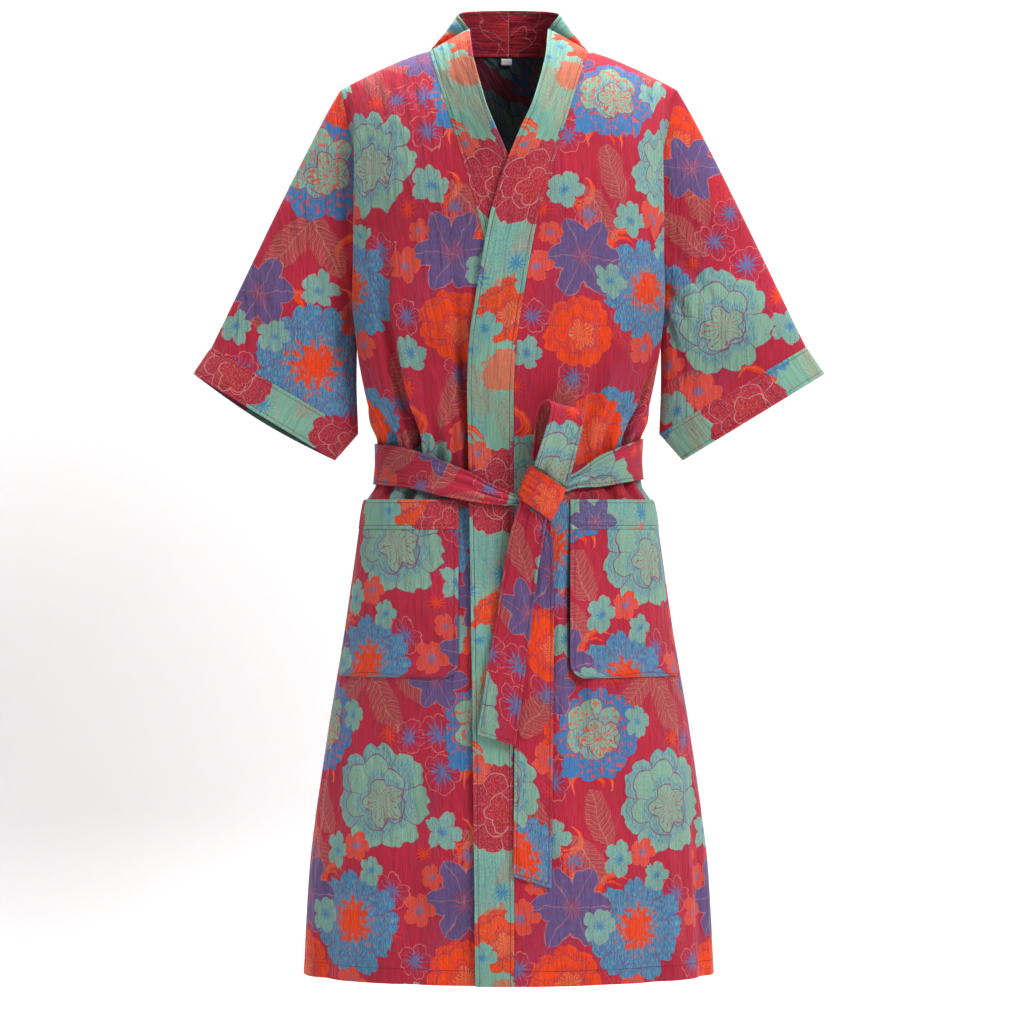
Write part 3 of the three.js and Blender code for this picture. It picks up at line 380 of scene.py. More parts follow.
TAIL_BACK = Table(
    "z x half out",
    (-1008, 28, 23, 4.5),
    (-940, 29, 23, 4.2),
    (-840, 30, 23, 4.2),
    (-740, 31, 23, 4.2),
    (-660, 32, 22, 4.2),
    (-605, 35, 19, 4.2),
    (-568, 37, 14, 4.2),
)
LABEL = dict(x=-3, top=1, bottom=-7.5, half=6.8)
SIDES = [
    dict(name="right", side=-1, folds=RIGHT_FRONT_FOLDS, pocket_x=60),
    dict(name="left", side=1, folds=LEFT_FRONT_FOLDS, pocket_x=72),
]


def smooth(value):
    f = np.clip(value, 0, 1)
    return f * f * (3 - 2 * f)


def mix(a, b, f):
    return a + (b - a) * f


def unit(vectors):
    return vectors / np.maximum(np.linalg.norm(vectors, axis=-1, keepdims=True), 1e-9)


def even_shares(length, step, rim):
    """Shares of a length from 0 to 1, a step apart, and two beside each end to round its rim."""
    inner = np.linspace(0, 1, int(length / step) + 1)
    return np.concatenate([[0, rim, 2.5 * rim], inner[1:-1], [1 - 2.5 * rim, 1 - rim, 1]])


def arcs(grid, axis):
    """Distance over the cloth from its first line, along rows or columns."""
    steps = np.linalg.norm(np.diff(grid, axis=axis), axis=-1)
    start = np.zeros_like(np.take(steps, [0], axis=axis))
    return np.concatenate([start, np.cumsum(steps, axis=axis)], axis=axis)


def ripple(u, v, height, seed):
    """Soft uneven waves that run down the cloth; u and v are millimetres over it."""
    rng = np.random.default_rng(seed)
    total = np.zeros(np.broadcast(u, v).shape)
    for width in (150, 96, 61, 38, 24):
        for _ in range(2):
            lean = rng.uniform(-0.25, 0.25)
            phase, other = rng.uniform(0, 2 * np.pi, 2)
            wave = np.sin(2 * np.pi * (u + lean * v) / width + phase)
            fade = 0.6 + 0.4 * np.sin(2 * np.pi * v / (width * 3.1) + other)
            total += wave * fade * (width / 150) ** 0.75
    return height * total / 2.2


class Sheet:
    """A grid of points on the middle of the cloth, with the way that it faces."""

    def __init__(self, grid, toward, at=(0, 0), wraps=False):
        self.grid = grid
        self.wraps = wraps
        if wraps:
            along = np.roll(grid, -1, axis=1) - np.roll(grid, 1, axis=1)
        else:
            along = np.gradient(grid, axis=1)
        self.normals = unit(np.cross(along, np.gradient(grid, axis=0)))
        self.sign = 1 if self.normals[at] @ np.array(toward, dtype=float) > 0 else -1
        self.normals *= self.sign

    def push(self, away):
        """Moves each point out along its normal."""
        moved = self.grid + self.normals * away[..., None]
        again = Sheet(moved, (0, 0, 1), wraps=self.wraps)
        if again.sign != self.sign:
            again.normals *= -1
            again.sign = self.sign
        return again


def sew(first, first_cells, first_in, second, second_cells, second_in, gap):
    """Brings two edges that share a line to one mitre, a seam gap apart."""
    line = first.grid[first_cells].copy()
    run = unit(np.gradient(line, axis=0))

    def flat(vectors):
        return unit(vectors - run * np.sum(vectors * run, axis=-1, keepdims=True))

    before = flat(line - first.grid[first_in])
    after = flat(second.grid[second_in] - line)
    across = unit(before + after)
    normal = np.cross(run, across)
    facing = np.sign(np.sum(normal * first.normals[first_cells], axis=-1, keepdims=True))
    normal = unit(normal * np.where(facing == 0, 1, facing))
    first.grid[first_cells] = line - across * gap / 2
    second.grid[second_cells] = line + across * gap / 2
    first.normals[first_cells] = normal
    second.normals[second_cells] = normal


def trim(sheet, cells, axis, value):
    """Flattens rim points onto a plane."""
    normals = sheet.normals[cells]
    normals[..., axis] = 0
    sheet.normals[cells] = unit(normals)
    sheet.grid[cells + (axis,)] = value


def shoulder_z(x):
    f = np.maximum(0, (x - NECK_X) / (SHOULDER_X - NECK_X))
    return -SHOULDER_DROP * f ** SHOULDER_ROUND


def end_angle(z, depth):
    """Angle round the body where a panel ends: the side seam, or the armhole above it."""
    rise = np.clip((CHEST_Z - z) / (CHEST_Z - UNDERARM_Z), 0, 1)
    armhole = np.arccos(ARMHOLE_HALF * np.cos(rise * SIDE) / depth)
    return np.where(z <= UNDERARM_Z, SIDE, armhole)


def section(face, side, z, angle):
    """Point of the body's half section at a level, with its outward direction."""
    half = BODY.at("half", z)
    depth = BODY.at("front" if face < 0 else "back", z)
    end = end_angle(z, depth)
    drawn_in = smooth((angle - TUCK_START) / (end - TUCK_START))
    tuck = BODY.at("tuck", z) * drawn_in
    x = side * (half * np.sin(angle) - tuck)
    y = face * depth * np.cos(angle)
    at = np.stack(np.broadcast_arrays(x, y, z), axis=-1)
    out_x = side * depth * np.sin(angle)
    out_y = face * half * np.cos(angle)
    out = unit(np.stack(np.broadcast_arrays(out_x, out_y, 0.0 * x), axis=-1))
    return at, out


def body_rows(step):
    """Levels from the hem to the chest, then the turn over the shoulder; both by row."""
    count = int(round((CHEST_Z - HEM_Z) / step))
    levels = np.linspace(HEM_Z, CHEST_Z, count + 1)
    underarm = int(np.argmin(np.abs(levels - UNDERARM_Z)))
    levels[underarm] = UNDERARM_Z
    levels = np.concatenate([[HEM_Z, HEM_Z + 0.4, HEM_Z + 1], levels[1:]])
    turns = int(round(SHOULDER_TURN / step))
    turning = np.linspace(0, SIDE, turns + 1)[1:]
    turning = np.concatenate([turning[:-1], [SIDE - RIM_FAR, SIDE - RIM_NEAR, SIDE]])
    z = np.concatenate([levels, np.full(len(turning), float(CHEST_Z))])
    turn = np.concatenate([np.zeros(len(levels)), turning])
    return z, turn, underarm + 2


def body_points(face, side, z, turn, angle, top, away, bend):
    at, out = section(face, side, z[:, None], angle)
    rise = np.sin(turn)[:, None]
    level = np.cos(turn)[:, None]
    point = np.stack([
        mix(at[..., 0], top[..., 0], rise ** bend),
        mix(top[..., 1], at[..., 1], level),
        mix(at[..., 2], top[..., 2], rise),
    ], axis=-1)
    out = out * level[..., None]
    out[..., 2] = rise
    return point + unit(out) * away[..., None]


def hollow_at(off):
    """Share of a fold's depth at a share of its reach from its line."""
    return 0.5 + 0.5 * np.cos(np.minimum(np.abs(off), 1) * np.pi)


def fold_depth(folds, share, z):
    depth = 0
    for fold in folds.rows():
        rising = smooth((fold["top"] - z) / (fold["top"] - fold["deepest"]))
        falling = smooth((z - fold["bottom"]) / (fold["deepest"] - fold["bottom"]))
        along = (fold["top"] - z) / (fold["top"] - fold["bottom"])
        off = (share - fold["at"] - fold["drift"] * along) / fold["reach"]
        depth = depth + fold["depth"] * rising * falling * hollow_at(off)
    return depth


def cover_at(x):
    return 1 - smooth((np.abs(x) - OVERLAP_FULL_X) / OVERLAP_FADE)


def rim_fade(share, reach):
    """0 at both ends of a share, 1 away from them."""
    return smooth(np.minimum(share, 1 - share) / reach)


def front_sheet(side, folds, sizes):
    z, turn, _ = body_rows(sizes.step)
    share = even_shares(FRONT_WIDTH, sizes.step, 0.0015)[None, :]
    depth = BODY.at("front", z)
    first = np.arcsin(EDGES.at("x", z) / BODY.at("half", z))
    angle = mix(first[:, None], end_angle(z, depth)[:, None], share)
    top_x = mix(NECK_X, SHOULDER_X, share)
    top = np.stack([side * top_x, 0 * top_x, shoulder_z(top_x)], axis=-1)
    bend = mix(EDGE_BEND, SIDE_BEND, share)
    nothing = np.zeros_like(angle)
    flat = body_points(-1, side, z, turn, angle, top, nothing, bend)
    past_chest = (np.sin(turn) - OVERLAP_END_RISE) / (1 - OVERLAP_END_RISE)
    lift = OVERLAP_LIFT * cover_at(flat[..., 0]) * (1 - smooth(past_chest))[:, None]
    lift = lift if side > 0 else nothing
    hollow = fold_depth(folds, share, z[:, None]) * sizes.creases
    down = z[:, None] + SHOULDER_TURN * turn[:, None]
    wave = ripple(arcs(flat, 1), down, sizes.ripple, 11 + side)
    wave = wave * rim_fade(share, 0.04) * np.cos(turn)[:, None]
    away = lift - np.where(turn[:, None] > 0, 0, hollow) + wave
    grid = body_points(-1, side, z, turn, angle, top, away, bend)
    return Sheet(grid, (0, -1, 0))


def back_sheet(sizes):
    z, turn, _ = body_rows(sizes.step)
    neck = np.linspace(0, NECK_SHARE, int(BACK_NECK_HALF / sizes.step) + 1)
    outer = np.linspace(NECK_SHARE, 1, int(BACK_OUTER_WIDTH / sizes.step) + 1)[1:-1]
    half = np.concatenate([neck, outer, [1 - RIM_FAR, 1 - RIM_NEAR, 1]])
    share = np.concatenate([-half[:0:-1], half])[None, :]
    part = np.abs(share)
    side = np.where(share < 0, -1, 1)
    depth = BODY.at("back", z)
    angle = part * end_angle(z, depth)[:, None]
    round_neck = np.minimum(part / NECK_SHARE, 1) * SIDE
    top_x = mix(NECK_X, SHOULDER_X, np.maximum(0, (part - NECK_SHARE) / (1 - NECK_SHARE)))
    on_neck = part <= NECK_SHARE
    top = np.stack([
        side * np.where(on_neck, NECK_X * np.sin(round_neck), top_x),
        np.where(on_neck, NECK_DEPTH * np.cos(round_neck), 0),
        np.where(on_neck, NECK_RISE * np.cos(round_neck), shoulder_z(top_x)),
    ], axis=-1)
    hollow = fold_depth(BACK_FOLDS, 0.5 + share / 2, z[:, None]) * sizes.creases
    flat = body_points(1, side, z, turn, angle, top, np.zeros_like(angle), SIDE_BEND)
    down = z[:, None] + SHOULDER_TURN * turn[:, None]
    wave = ripple(arcs(flat, 1), down, sizes.ripple, 5)
    wave = wave * rim_fade(0.5 + share / 2, 0.02) * np.cos(turn)[:, None]
    away = wave - np.where(turn[:, None] > 0, 0, hollow)
    grid = body_points(1, side, z, turn, angle, top, away, SIDE_BEND)
    return Sheet(grid, (0, 1, 0), at=(0, len(half) - 1)), len(half) - 1, len(neck) - 1


def band_sheet(side, front, back, middle, neck_steps, sizes):
    """Half of the neck band: up the front, round the neck to the middle of the back."""
    z, _, _ = body_rows(sizes.step)
    seam = front.grid[:, 0]
    out = front.normals[:, 0]
    run = unit(np.gradient(seam, axis=0))
    way = unit(np.cross(run, out))
    way = np.where((way[:, :1] * side) > 0, -way, way)
    lift = (BAND_LIFTS.at("lift", seam[:, 2]) * DEG)[:, None]
    way = way * np.cos(lift) + out * np.sin(lift)
    body_bend = (BODY.at("front", z) / (2 * BODY.at("half", z) ** 2))[:, None]
    bend = body_bend * (1 - smooth(lift / (BAND_SIDE_RISE * DEG)))
    width = EDGES.at("band", seam[:, 2])[:, None]

    steps = np.arange(neck_steps - 1, -1, -1)
    neck = back.grid[-1, middle + side * steps]
    turn = steps / neck_steps * SIDE
    outward = unit(np.stack([
        side * NECK_DEPTH * np.sin(turn), NECK_X * np.cos(turn), 0 * turn,
    ], axis=-1))
    rise = mix(BAND_BACK_RISE, BAND_SIDE_RISE, (steps / neck_steps) ** BAND_TURN_BEND) * DEG
    neck_way = -outward * np.cos(rise)[:, None]
    neck_way[:, 2] = np.sin(rise)

    seam = np.concatenate([seam, neck])
    out = np.concatenate([out, neck_way])
    way = np.concatenate([way, neck_way])
    bend = np.concatenate([bend, np.zeros((len(neck), 1))])
    width = np.concatenate([width, np.full((len(neck), 1), EDGES.at("band", 0))])
    w = even_shares(NECK_BAND_WIDTH, sizes.band_step, 0.007)[None, :] * width
    grid = seam[:, None] + way[:, None] * w[..., None] - out[:, None] * (bend * w * w)[..., None]
    return Sheet(grid, (0, -1, 0))


def lens(side, outer, inner, share, face, puff):
    f = np.clip(share, 0, 1)
    x = side * mix(outer[0], inner[0], f)
    y = face * puff * (4 * f * (1 - f)) ** LENS_POWER
    return np.stack(np.broadcast_arrays(x, y, mix(outer[1], inner[1], f)), axis=-1)


def sleeve_sheet(side, root, faces, sizes):
    """Rings from the armhole to the cuff seam."""
    share = (-SHOULDER_DROP - root[:, 2]) / (-SHOULDER_DROP - UNDERARM_Z)
    along = even_shares(SLEEVE_LENGTH, sizes.step, 0.0012)[:, None]

    def ring(where):
        outer = (SLEEVE_OUTER.at("x", where), SLEEVE_OUTER.at("z", where))
        inner = (SLEEVE_INNER.at("x", where), SLEEVE_INNER.at("z", where))
        return lens(side, outer, inner, share, faces, mix(ARMHOLE_HALF, SLEEVE_HALF, where))

    keep = 1 - smooth(along / SLEEVE_BLEND)
    start = root - ring(np.zeros((1, 1)))[0]
    grid = ring(along) + start[None] * keep[..., None]
    grid[0] = root
    sheet = Sheet(grid, (0, -1, 0), at=(len(along) - 1, len(root) // 4), wraps=True)
    hollow = np.zeros(grid.shape[:2])
    for crease in SLEEVE_CREASES:
        line = mix(crease["start"], crease["end"], along)
        off = (share[None] - line) / crease["reach"]
        rising = smooth((along - crease["top"]) / (crease["deepest"] - crease["top"]))
        falling = smooth((crease["bottom"] - along) / (crease["bottom"] - crease["deepest"]))
        depth = crease["depth"] * rising * falling * hollow_at(off)
        hollow += depth * (faces[None] == crease["face"])
    wave = ripple(share[None] * SLEEVE_DEPTH, along * SLEEVE_LENGTH, sizes.ripple, 21 + side)
    edge = smooth(np.minimum(share, 1 - share) / 0.08)[None]
    fade = edge * rim_fade(along, 0.06)
    return sheet.push((wave - hollow * sizes.creases) * fade), share


def cuff_sheet(side, sleeve, share, faces, sizes):
    seam = sleeve.grid[-1]
    outer_end = np.array([SLEEVE_OUTER.at("x", 1), SLEEVE_OUTER.at("z", 1)])
    inner_end = np.array([SLEEVE_INNER.at("x", 1), SLEEVE_INNER.at("z", 1)])
    length = np.hypot(*(outer_end - inner_end))
    flat = np.stack([side * seam[:, 0] - outer_end[0], seam[:, 2] - outer_end[1]])
    share = np.hypot(*flat) / length
    along = even_shares(CUFF_WIDTH, sizes.band_step, 0.009)[:, None]
    if side < 0:
        along = along * (1 + CUFF_BACK_DROP * np.sin(share * np.pi) * (faces > 0))[None]
    outer = [mix(outer_end[i], CUFF_OUTER[i], along) for i in (0, 1)]
    inner = [mix(inner_end[i], CUFF_INNER[i], along) for i in (0, 1)]
    grid = lens(side, outer, inner, share, faces, SLEEVE_HALF + CUFF_PROUD * along)
    grid[0] = seam
    return Sheet(grid, (0, -1, 0), at=(3, len(seam) // 4), wraps=True)


def front_surface(x, z, away):
    """Outermost front surface, where belt, tails and pockets lie."""
    side = np.where(x < 0, -1, 1)
    angle = np.arcsin(np.minimum(1, np.abs(x) / BODY.at("half", z)))
    at, out = section(-1, side, z, angle)
    return at + out * (OVERLAP_LIFT * cover_at(x) + away)[..., None]


def belt_sheet(sizes):
    waist = float(BODY.at("half", BELT_Z))
    start = -math.asin(BELT_START_X / waist)
    end = 2 * math.pi - math.asin(BELT_END_X / waist)
    share = even_shares(BELT_LENGTH, sizes.step, 0.0005)
    turn = mix(start, end, share)[:, None]
    on_front = np.cos(turn) > 0
    x = -waist * np.sin(turn)
    back_z = mix(BELT_RIGHT_Z, BELT_LEFT_Z, 0.5 + x / (2 * waist))
    middle = np.where(on_front, BELT_DIP.at("z", x), back_z)
    half = np.where(on_front, BELT_DIP.at("half", x), BELT_HALF)
    bulk = np.where(on_front, BELT_DIP.at("bulk", x), 0)
    stand_off = np.where(on_front, BELT_DIP.at("out", x) + OVERLAP_LIFT * cover_at(x), 0)
    across = (2 * even_shares(BELT_WIDTH, sizes.band_step, 0.008) - 1)[None, :]
    crown = BELT_CROWN.at("crown", across)
    angle = np.arcsin(np.minimum(1, np.abs(x) / waist))
    level = middle + across * half
    gathered = np.where(on_front, smooth((150 - np.abs(x - 30)) / 110), 0)
    pleats = 1.5 * np.sin(across * 7.5 + x / 47) + 0.8 * np.sin(across * 14 - x / 31 + 1)
    pleats = pleats * gathered * (1 - across ** 2)
    soft = ripple(turn * waist, across * BELT_HALF, sizes.ripple * 0.7, 31) * (1 - across ** 2)
    away = BELT_CLEAR + stand_off + bulk * crown + pleats * sizes.creases + soft
    front_at, front_out = section(-1, np.where(x < 0, -1, 1), level, angle)
    back_at, back_out = section(1, np.where(x < 0, -1, 1), level, angle)
    at = np.where(on_front[..., None], front_at, back_at)
    out = np.where(on_front[..., None], front_out, back_out)
    return Sheet(at + out * away[..., None], (0, 1, 0), at=(len(share) // 2, 5))


def closed_curve(points, count):
    """Smooth closed curve through points, in even steps of its own share."""
    total = len(points)
    where = np.linspace(0, total, count, endpoint=False)
    i = where.astype(int)
    f = (where - i)[:, None]
    p0, p1, p2, p3 = (points[(i + k) % total] for k in (-1, 0, 1, 2))
    return 0.5 * (
        2 * p1 + (p2 - p0) * f + (2 * p0 - 5 * p1 + 4 * p2 - p3) * f ** 2
        + (3 * p1 - p0 - 3 * p2 + p3) * f ** 3
    )


def knot_sheet(sizes):
    """The knot's wrap: pleated rings round a leaning axis, drawn in at both ends."""
    axis = np.array([math.sin(KNOT_LEAN), 0, math.cos(KNOT_LEAN)])
    across = np.array([math.cos(KNOT_WRAP_SLOPE), 0, -math.sin(KNOT_WRAP_SLOPE)])
    along = np.linspace(-1, 1, KNOT_RINGS)
    ring = closed_curve(KNOT_SECTION, KNOT_AROUND)
    swell = KNOT_PROFILE.at("swell", along)[:, None]
    shift = KNOT_PROFILE.at("shift", along)[:, None]
    turn = np.linspace(0, 2 * np.pi, KNOT_AROUND, endpoint=False)[None, :]
    level = along[:, None]
    pleats = 0.9 * np.sin(level * 11 + 0.8 * np.sin(turn)) + 0.5 * np.sin(level * 19 + turn)
    pleats = pleats * (1 - level ** 4) * sizes.creases
    side_way = ring[None, :, 0] * (1 + swell) / 2 + shift
    outward = ring[None, :, 1] * swell + pleats * np.sign(ring[None, :, 1])
    grid = (
        KNOT + axis * (level * KNOT_HALF_LENGTH)[..., None]
        + across * side_way[..., None]
        - np.array([0, 1, 0]) * outward[..., None]
    )
    return Sheet(grid, (0, -1, 0), at=(24, 33), wraps=True)


def loop_sheet(sizes):
    share = even_shares(LOOP_LENGTH, sizes.step, 0.002)[:, None]
    yaw = LOOP.at("yaw", share) * DEG
    roll = LOOP.at("roll", share) * DEG
    way = np.concatenate([
        np.cos(yaw) * np.cos(roll), np.sin(yaw) * np.cos(roll), -np.sin(roll),
    ], axis=-1)
    centre = np.concatenate([
        LOOP.at("x", share), KNOT[1] - LOOP.at("out", share), LOOP.at("z", share),
    ], axis=-1)
    across = (2 * even_shares(LOOP_WIDTH, sizes.band_step, 0.008) - 1)[None, :]
    grid = centre[:, None] + way[:, None] * (across * LOOP_HALF_WIDTH)[..., None]
    sheet = Sheet(grid, (0, -1, 0), at=(len(share) - 4, 5))
    near_knot = 1 - np.minimum(share, 1 - share) * 2
    pleats = 1.6 * np.sin(across * 5.5 + 1.2) * smooth(near_knot * 1.6 - 0.5)
    hollow = 1.2 * (1 - across ** 2) * smooth(1.4 - near_knot)
    return sheet.push((pleats - hollow) * (1 - across ** 4) * sizes.creases)


def tail_sheet(table, knot_y, seed, sizes):
    bottom, top = table.columns["z"][0], table.columns["z"][-1]
    share = even_shares(top - bottom, sizes.step, 0.0012)[:, None]
    across = (2 * even_shares(TAIL_WIDTH, sizes.band_step, 0.008) - 1)[None, :]
    level = mix(top, bottom, share)
    reach = across * table.at("half", level)
    x = table.at("x", level) + reach
    top_slant = TAIL_TOP_SLANT * reach * (1 - share) ** TAIL_SLANT_FADE
    cut_slant = TAIL_CUT_DROP / 2 * across * share * share
    z = level - top_slant - cut_slant
    point = front_surface(x, z, table.at("out", level) + 0 * across)
    point[..., 0] = x
    held = mix(knot_y, point[..., 1], smooth(share * TAIL_SWING))
    point[..., 1] = np.minimum(point[..., 1], held)
    gathered = smooth(1 - share / 0.3)
    pleats = 1.3 * np.sin(across * 5 + 0.7) * gathered
    wave = ripple(across * TAIL_WIDTH / 2, share * (top - bottom), sizes.ripple * 0.8, seed)
    sheet = Sheet(point, (0, -1, 0), at=(3, 5))
    return sheet.push((pleats + wave) * (1 - across ** 4) * sizes.creases)


def pocket_sheet(side, inner_x, from_z, to_z, rows, corner, sizes):
    z = mix(from_z, to_z, rows)[:, None]
    half = BODY.at("half", z)
    rise = z - from_z
    left = np.maximum(corner - rise, 0)
    inset = corner - np.sqrt(max(corner, 1) ** 2 - left ** 2) if corner else 0 * rise
    inner_angle = np.arcsin((inner_x + inset) / half)
    outer_angle = POCKET_OUTER - inset / half
    f = even_shares(POCKET_WIDTH, sizes.step, 0.0025)[None, :]
    openness = smooth((z - POCKET_BOTTOM_Z) / (POCKET_BAND_TOP_Z - POCKET_BOTTOM_Z))
    belly = np.sin(f * np.pi) ** POCKET_BELLY_POWER
    edge = mix(POCKET_EDGE_CLEAR, POCKET_CORNER_CLEAR, f * openness)
    clear = mix(edge, POCKET_MOUTH_CLEAR, belly * openness)
    at, out = section(-1, side, z, mix(inner_angle, outer_angle, f))
    lift = OVERLAP_LIFT * cover_at(at[..., 0]) if side > 0 else 0
    wave = ripple(f * POCKET_WIDTH, z + 0 * f, sizes.ripple * 0.8, 41 + side)
    wave = wave * rim_fade(f, 0.08) * smooth((z - POCKET_BOTTOM_Z) / 20)
    return Sheet(at + out * (clear + lift + wave)[..., None], (0, -1, 0), at=(3, 3))


def label_sheet():
    z = np.linspace(LABEL["bottom"], LABEL["top"], 8)[:, None]
    x = LABEL["x"] + LABEL["half"] * np.linspace(-1, 1, 14)[None, :]
    y = NECK_DEPTH * np.cos(np.arcsin(x / NECK_X)) - LABEL_BEHIND
    return Sheet(np.stack(np.broadcast_arrays(x, y, z), axis=-1), (0, -1, 0))


Measures = collections.namedtuple(
    "Measures", "step band_step ripple creases cloth band belt seam")


def measures(sizes):
    """The sizes of the panel, in millimetres."""
    return Measures(
        step=sizes.mesh_step / MM, band_step=sizes.mesh_step / MM / 2,
        ripple=sizes.ripple_height / MM, creases=sizes.crease_depth,
        cloth=sizes.cloth_thickness / MM, band=sizes.band_thickness / MM,
        belt=sizes.belt_thickness / MM, seam=sizes.seam_gap / MM)


@functools.lru_cache(maxsize=1)
def sewn_panels(sizes):
    """Every panel of the robe but pockets and belt, sewn edge to edge."""
    back, middle, neck_steps = back_sheet(sizes)
    _, _, underarm = body_rows(sizes.step)
    panels = {"back": back}
    for piece in SIDES:
        name, side = piece["name"], piece["side"]
        front = front_sheet(side, piece["folds"], sizes)
        band = band_sheet(side, front, back, middle, neck_steps, sizes)
        rows = len(front.grid)
        top = rows - 1
        last = front.grid.shape[1] - 1
        back_edge = back.grid.shape[1] - 1 if side > 0 else 0

        down = np.arange(top, underarm - 1, -1)
        up = np.arange(underarm + 1, top)
        root = np.concatenate([front.grid[down, last], back.grid[up, back_edge]])
        faces = np.concatenate([np.full(len(down), -1), np.full(len(up), 1)])
        sleeve, share = sleeve_sheet(side, root, faces, sizes)
        cuff = cuff_sheet(side, sleeve, share, faces, sizes)

        every = np.arange(rows)
        zero = np.zeros(rows, dtype=int)
        sew(front, (every, zero), (every, zero + 3), band, (every, zero), (every, zero + 3),
            sizes.seam)
        steps = np.arange(neck_steps - 1, -1, -1)
        flat = np.zeros(len(steps), dtype=int)
        neck_cells = (flat + top, middle + side * steps)
        neck_rows = rows + np.arange(len(steps))
        sew(back, neck_cells, (flat + top - 3, neck_cells[1]), band, (neck_rows, flat),
            (neck_rows, flat + 3), sizes.seam)
        count = len(down)
        ring = np.arange(len(root))
        first, third = 0 * ring, 0 * ring + 3
        sew(front, (down, 0 * down + last), (down, 0 * down + last - 3), sleeve,
            (first[:count], ring[:count]), (third[:count], ring[:count]), sizes.seam)
        sew(back, (up, 0 * up + back_edge), (up, 0 * up + back_edge - 3 * side), sleeve,
            (first[count:], ring[count:]), (third[count:], ring[count:]), sizes.seam)
        end = len(sleeve.grid) - 1
        sew(sleeve, (first + end, ring), (first + end - 3, ring), cuff, (first, ring),
            (third, ring), sizes.seam)
        gap = sizes.seam / 2
        below = np.arange(underarm + 1)
        across = np.arange(last + 1)
        trim(front, (0 * across + top, across), 1, -gap)
        trim(front, (below, 0 * below + last), 1, -gap)
        shoulder = middle + side * np.arange(neck_steps, middle + 1)
        trim(back, (0 * shoulder + top, shoulder), 1, gap)
        trim(back, (below, 0 * below + back_edge), 1, gap)
        wide = np.arange(band.grid.shape[1])
        trim(band, (0 * wide + len(band.grid) - 1, wide), 0, side * gap)
        panels.update({
            f"front_{name}": front, f"band_{name}": band,
            f"sleeve_{name}": sleeve, f"cuff_{name}": cuff,
        })
    return panels


def rim_profile(count, closed):
    """How full the cloth's thickness is at each line: rounded off at open rims."""
    full = np.ones(count)
    if not closed:
        full[[0, -1]] = 0.45
        full[[1, -2]] = 0.88
    return full


def quads(block):
    """Four-cornered faces over a grid of numbers."""
    faces = [block[:-1, :-1], block[:-1, 1:], block[1:, 1:], block[1:, :-1]]
    return np.stack(faces, axis=-1).reshape(-1, 4)


def closed_round(sheet, index):
    """Numbers of a grid's points, with the first column again at the end of a tube."""
    return np.concatenate([index, index[:, :1]], axis=1) if sheet.wraps else index


def mesh_object(name, points, blocks, turned, uv, layout, materials):
    """An object from blocks of faces.

    Each block holds its faces' points, the same corners' places in uv, and its material's number.
    """
    way = -1 if turned else 1
    corners = np.concatenate([faces[:, ::way].ravel() for faces, _, _ in blocks])
    places = np.concatenate([spots[:, ::way].ravel() for _, spots, _ in blocks])
    totals = np.concatenate([np.full(len(faces), faces.shape[1]) for faces, _, _ in blocks])
    finishes = np.concatenate([np.full(len(faces), finish) for faces, _, finish in blocks])
    mesh = bpy.data.meshes.new(name)
    mesh.vertices.add(len(points))
    mesh.vertices.foreach_set("co", (points * MM).ravel())
    mesh.loops.add(len(corners))
    mesh.loops.foreach_set("vertex_index", corners.astype(np.int32))
    mesh.polygons.add(len(totals))
    starts = np.cumsum(totals) - totals
    mesh.polygons.foreach_set("loop_start", starts.astype(np.int32))
    mesh.polygons.foreach_set("material_index", finishes.astype(np.int32))
    mesh.polygons.foreach_set("use_smooth", np.ones(len(totals), dtype=bool))
    values = uv.reshape(-1, 4)[places]
    for key, pair in (("cloth", values[:, :2]), ("stitch", values[:, 2:])):
        mesh.uv_layers.new(name=key).data.foreach_set("uv", (pair * MM).ravel())
    lay_print(mesh, values[:, :2], *layout)
    mesh.update(calc_edges=True)
    mesh.validate()
    for material in materials:
        mesh.materials.append(material)
    piece = bpy.data.objects.new(name, mesh)
    bpy.context.scene.collection.objects.link(piece)
    return piece


def cloth_object(name, sheet, thickness, outer, inner, uv, layout=None):
    """A closed thin shell on a sheet, with rounded rims, dented along its stitches."""
    rows, columns = sheet.grid.shape[:2]
    full = rim_profile(rows, False)[:, None] * rim_profile(columns, sheet.wraps)[None, :]
    dent = STITCH_DENT * np.exp(-((uv[:, :columns, 2] / STITCH_REACH) ** 2))
    half = thickness / 2 * full * (1 - dent)
    offset = sheet.normals * half[..., None]
    points = np.concatenate([
        (sheet.grid + offset).reshape(-1, 3), (sheet.grid - offset).reshape(-1, 3),
    ])
    layer = rows * columns
    index = closed_round(sheet, np.arange(layer).reshape(rows, columns))
    place = np.arange(uv[..., 0].size).reshape(uv.shape[:2])
    top, spots = quads(index), quads(place)
    blocks = [(top, spots, 0), (top[:, ::-1] + layer, spots[:, ::-1], 1)]
    rims = [(index[0], place[0], 1), (index[-1], place[-1], -1)]
    if not sheet.wraps:
        rims += [(index[:, 0], place[:, 0], -1), (index[:, -1], place[:, -1], 1)]
    for line, spot, way in rims:
        strip = np.stack([line[:-1], line[:-1] + layer, line[1:] + layer, line[1:]], axis=-1)
        spot = np.stack([spot[:-1], spot[:-1], spot[1:], spot[1:]], axis=-1)
        blocks.append((strip[:, ::way], spot[:, ::way], 0))
    return mesh_object(
        name, points, blocks, sheet.sign < 0, uv, layout or (TILE, CLOTH_PRINT), (outer, inner))


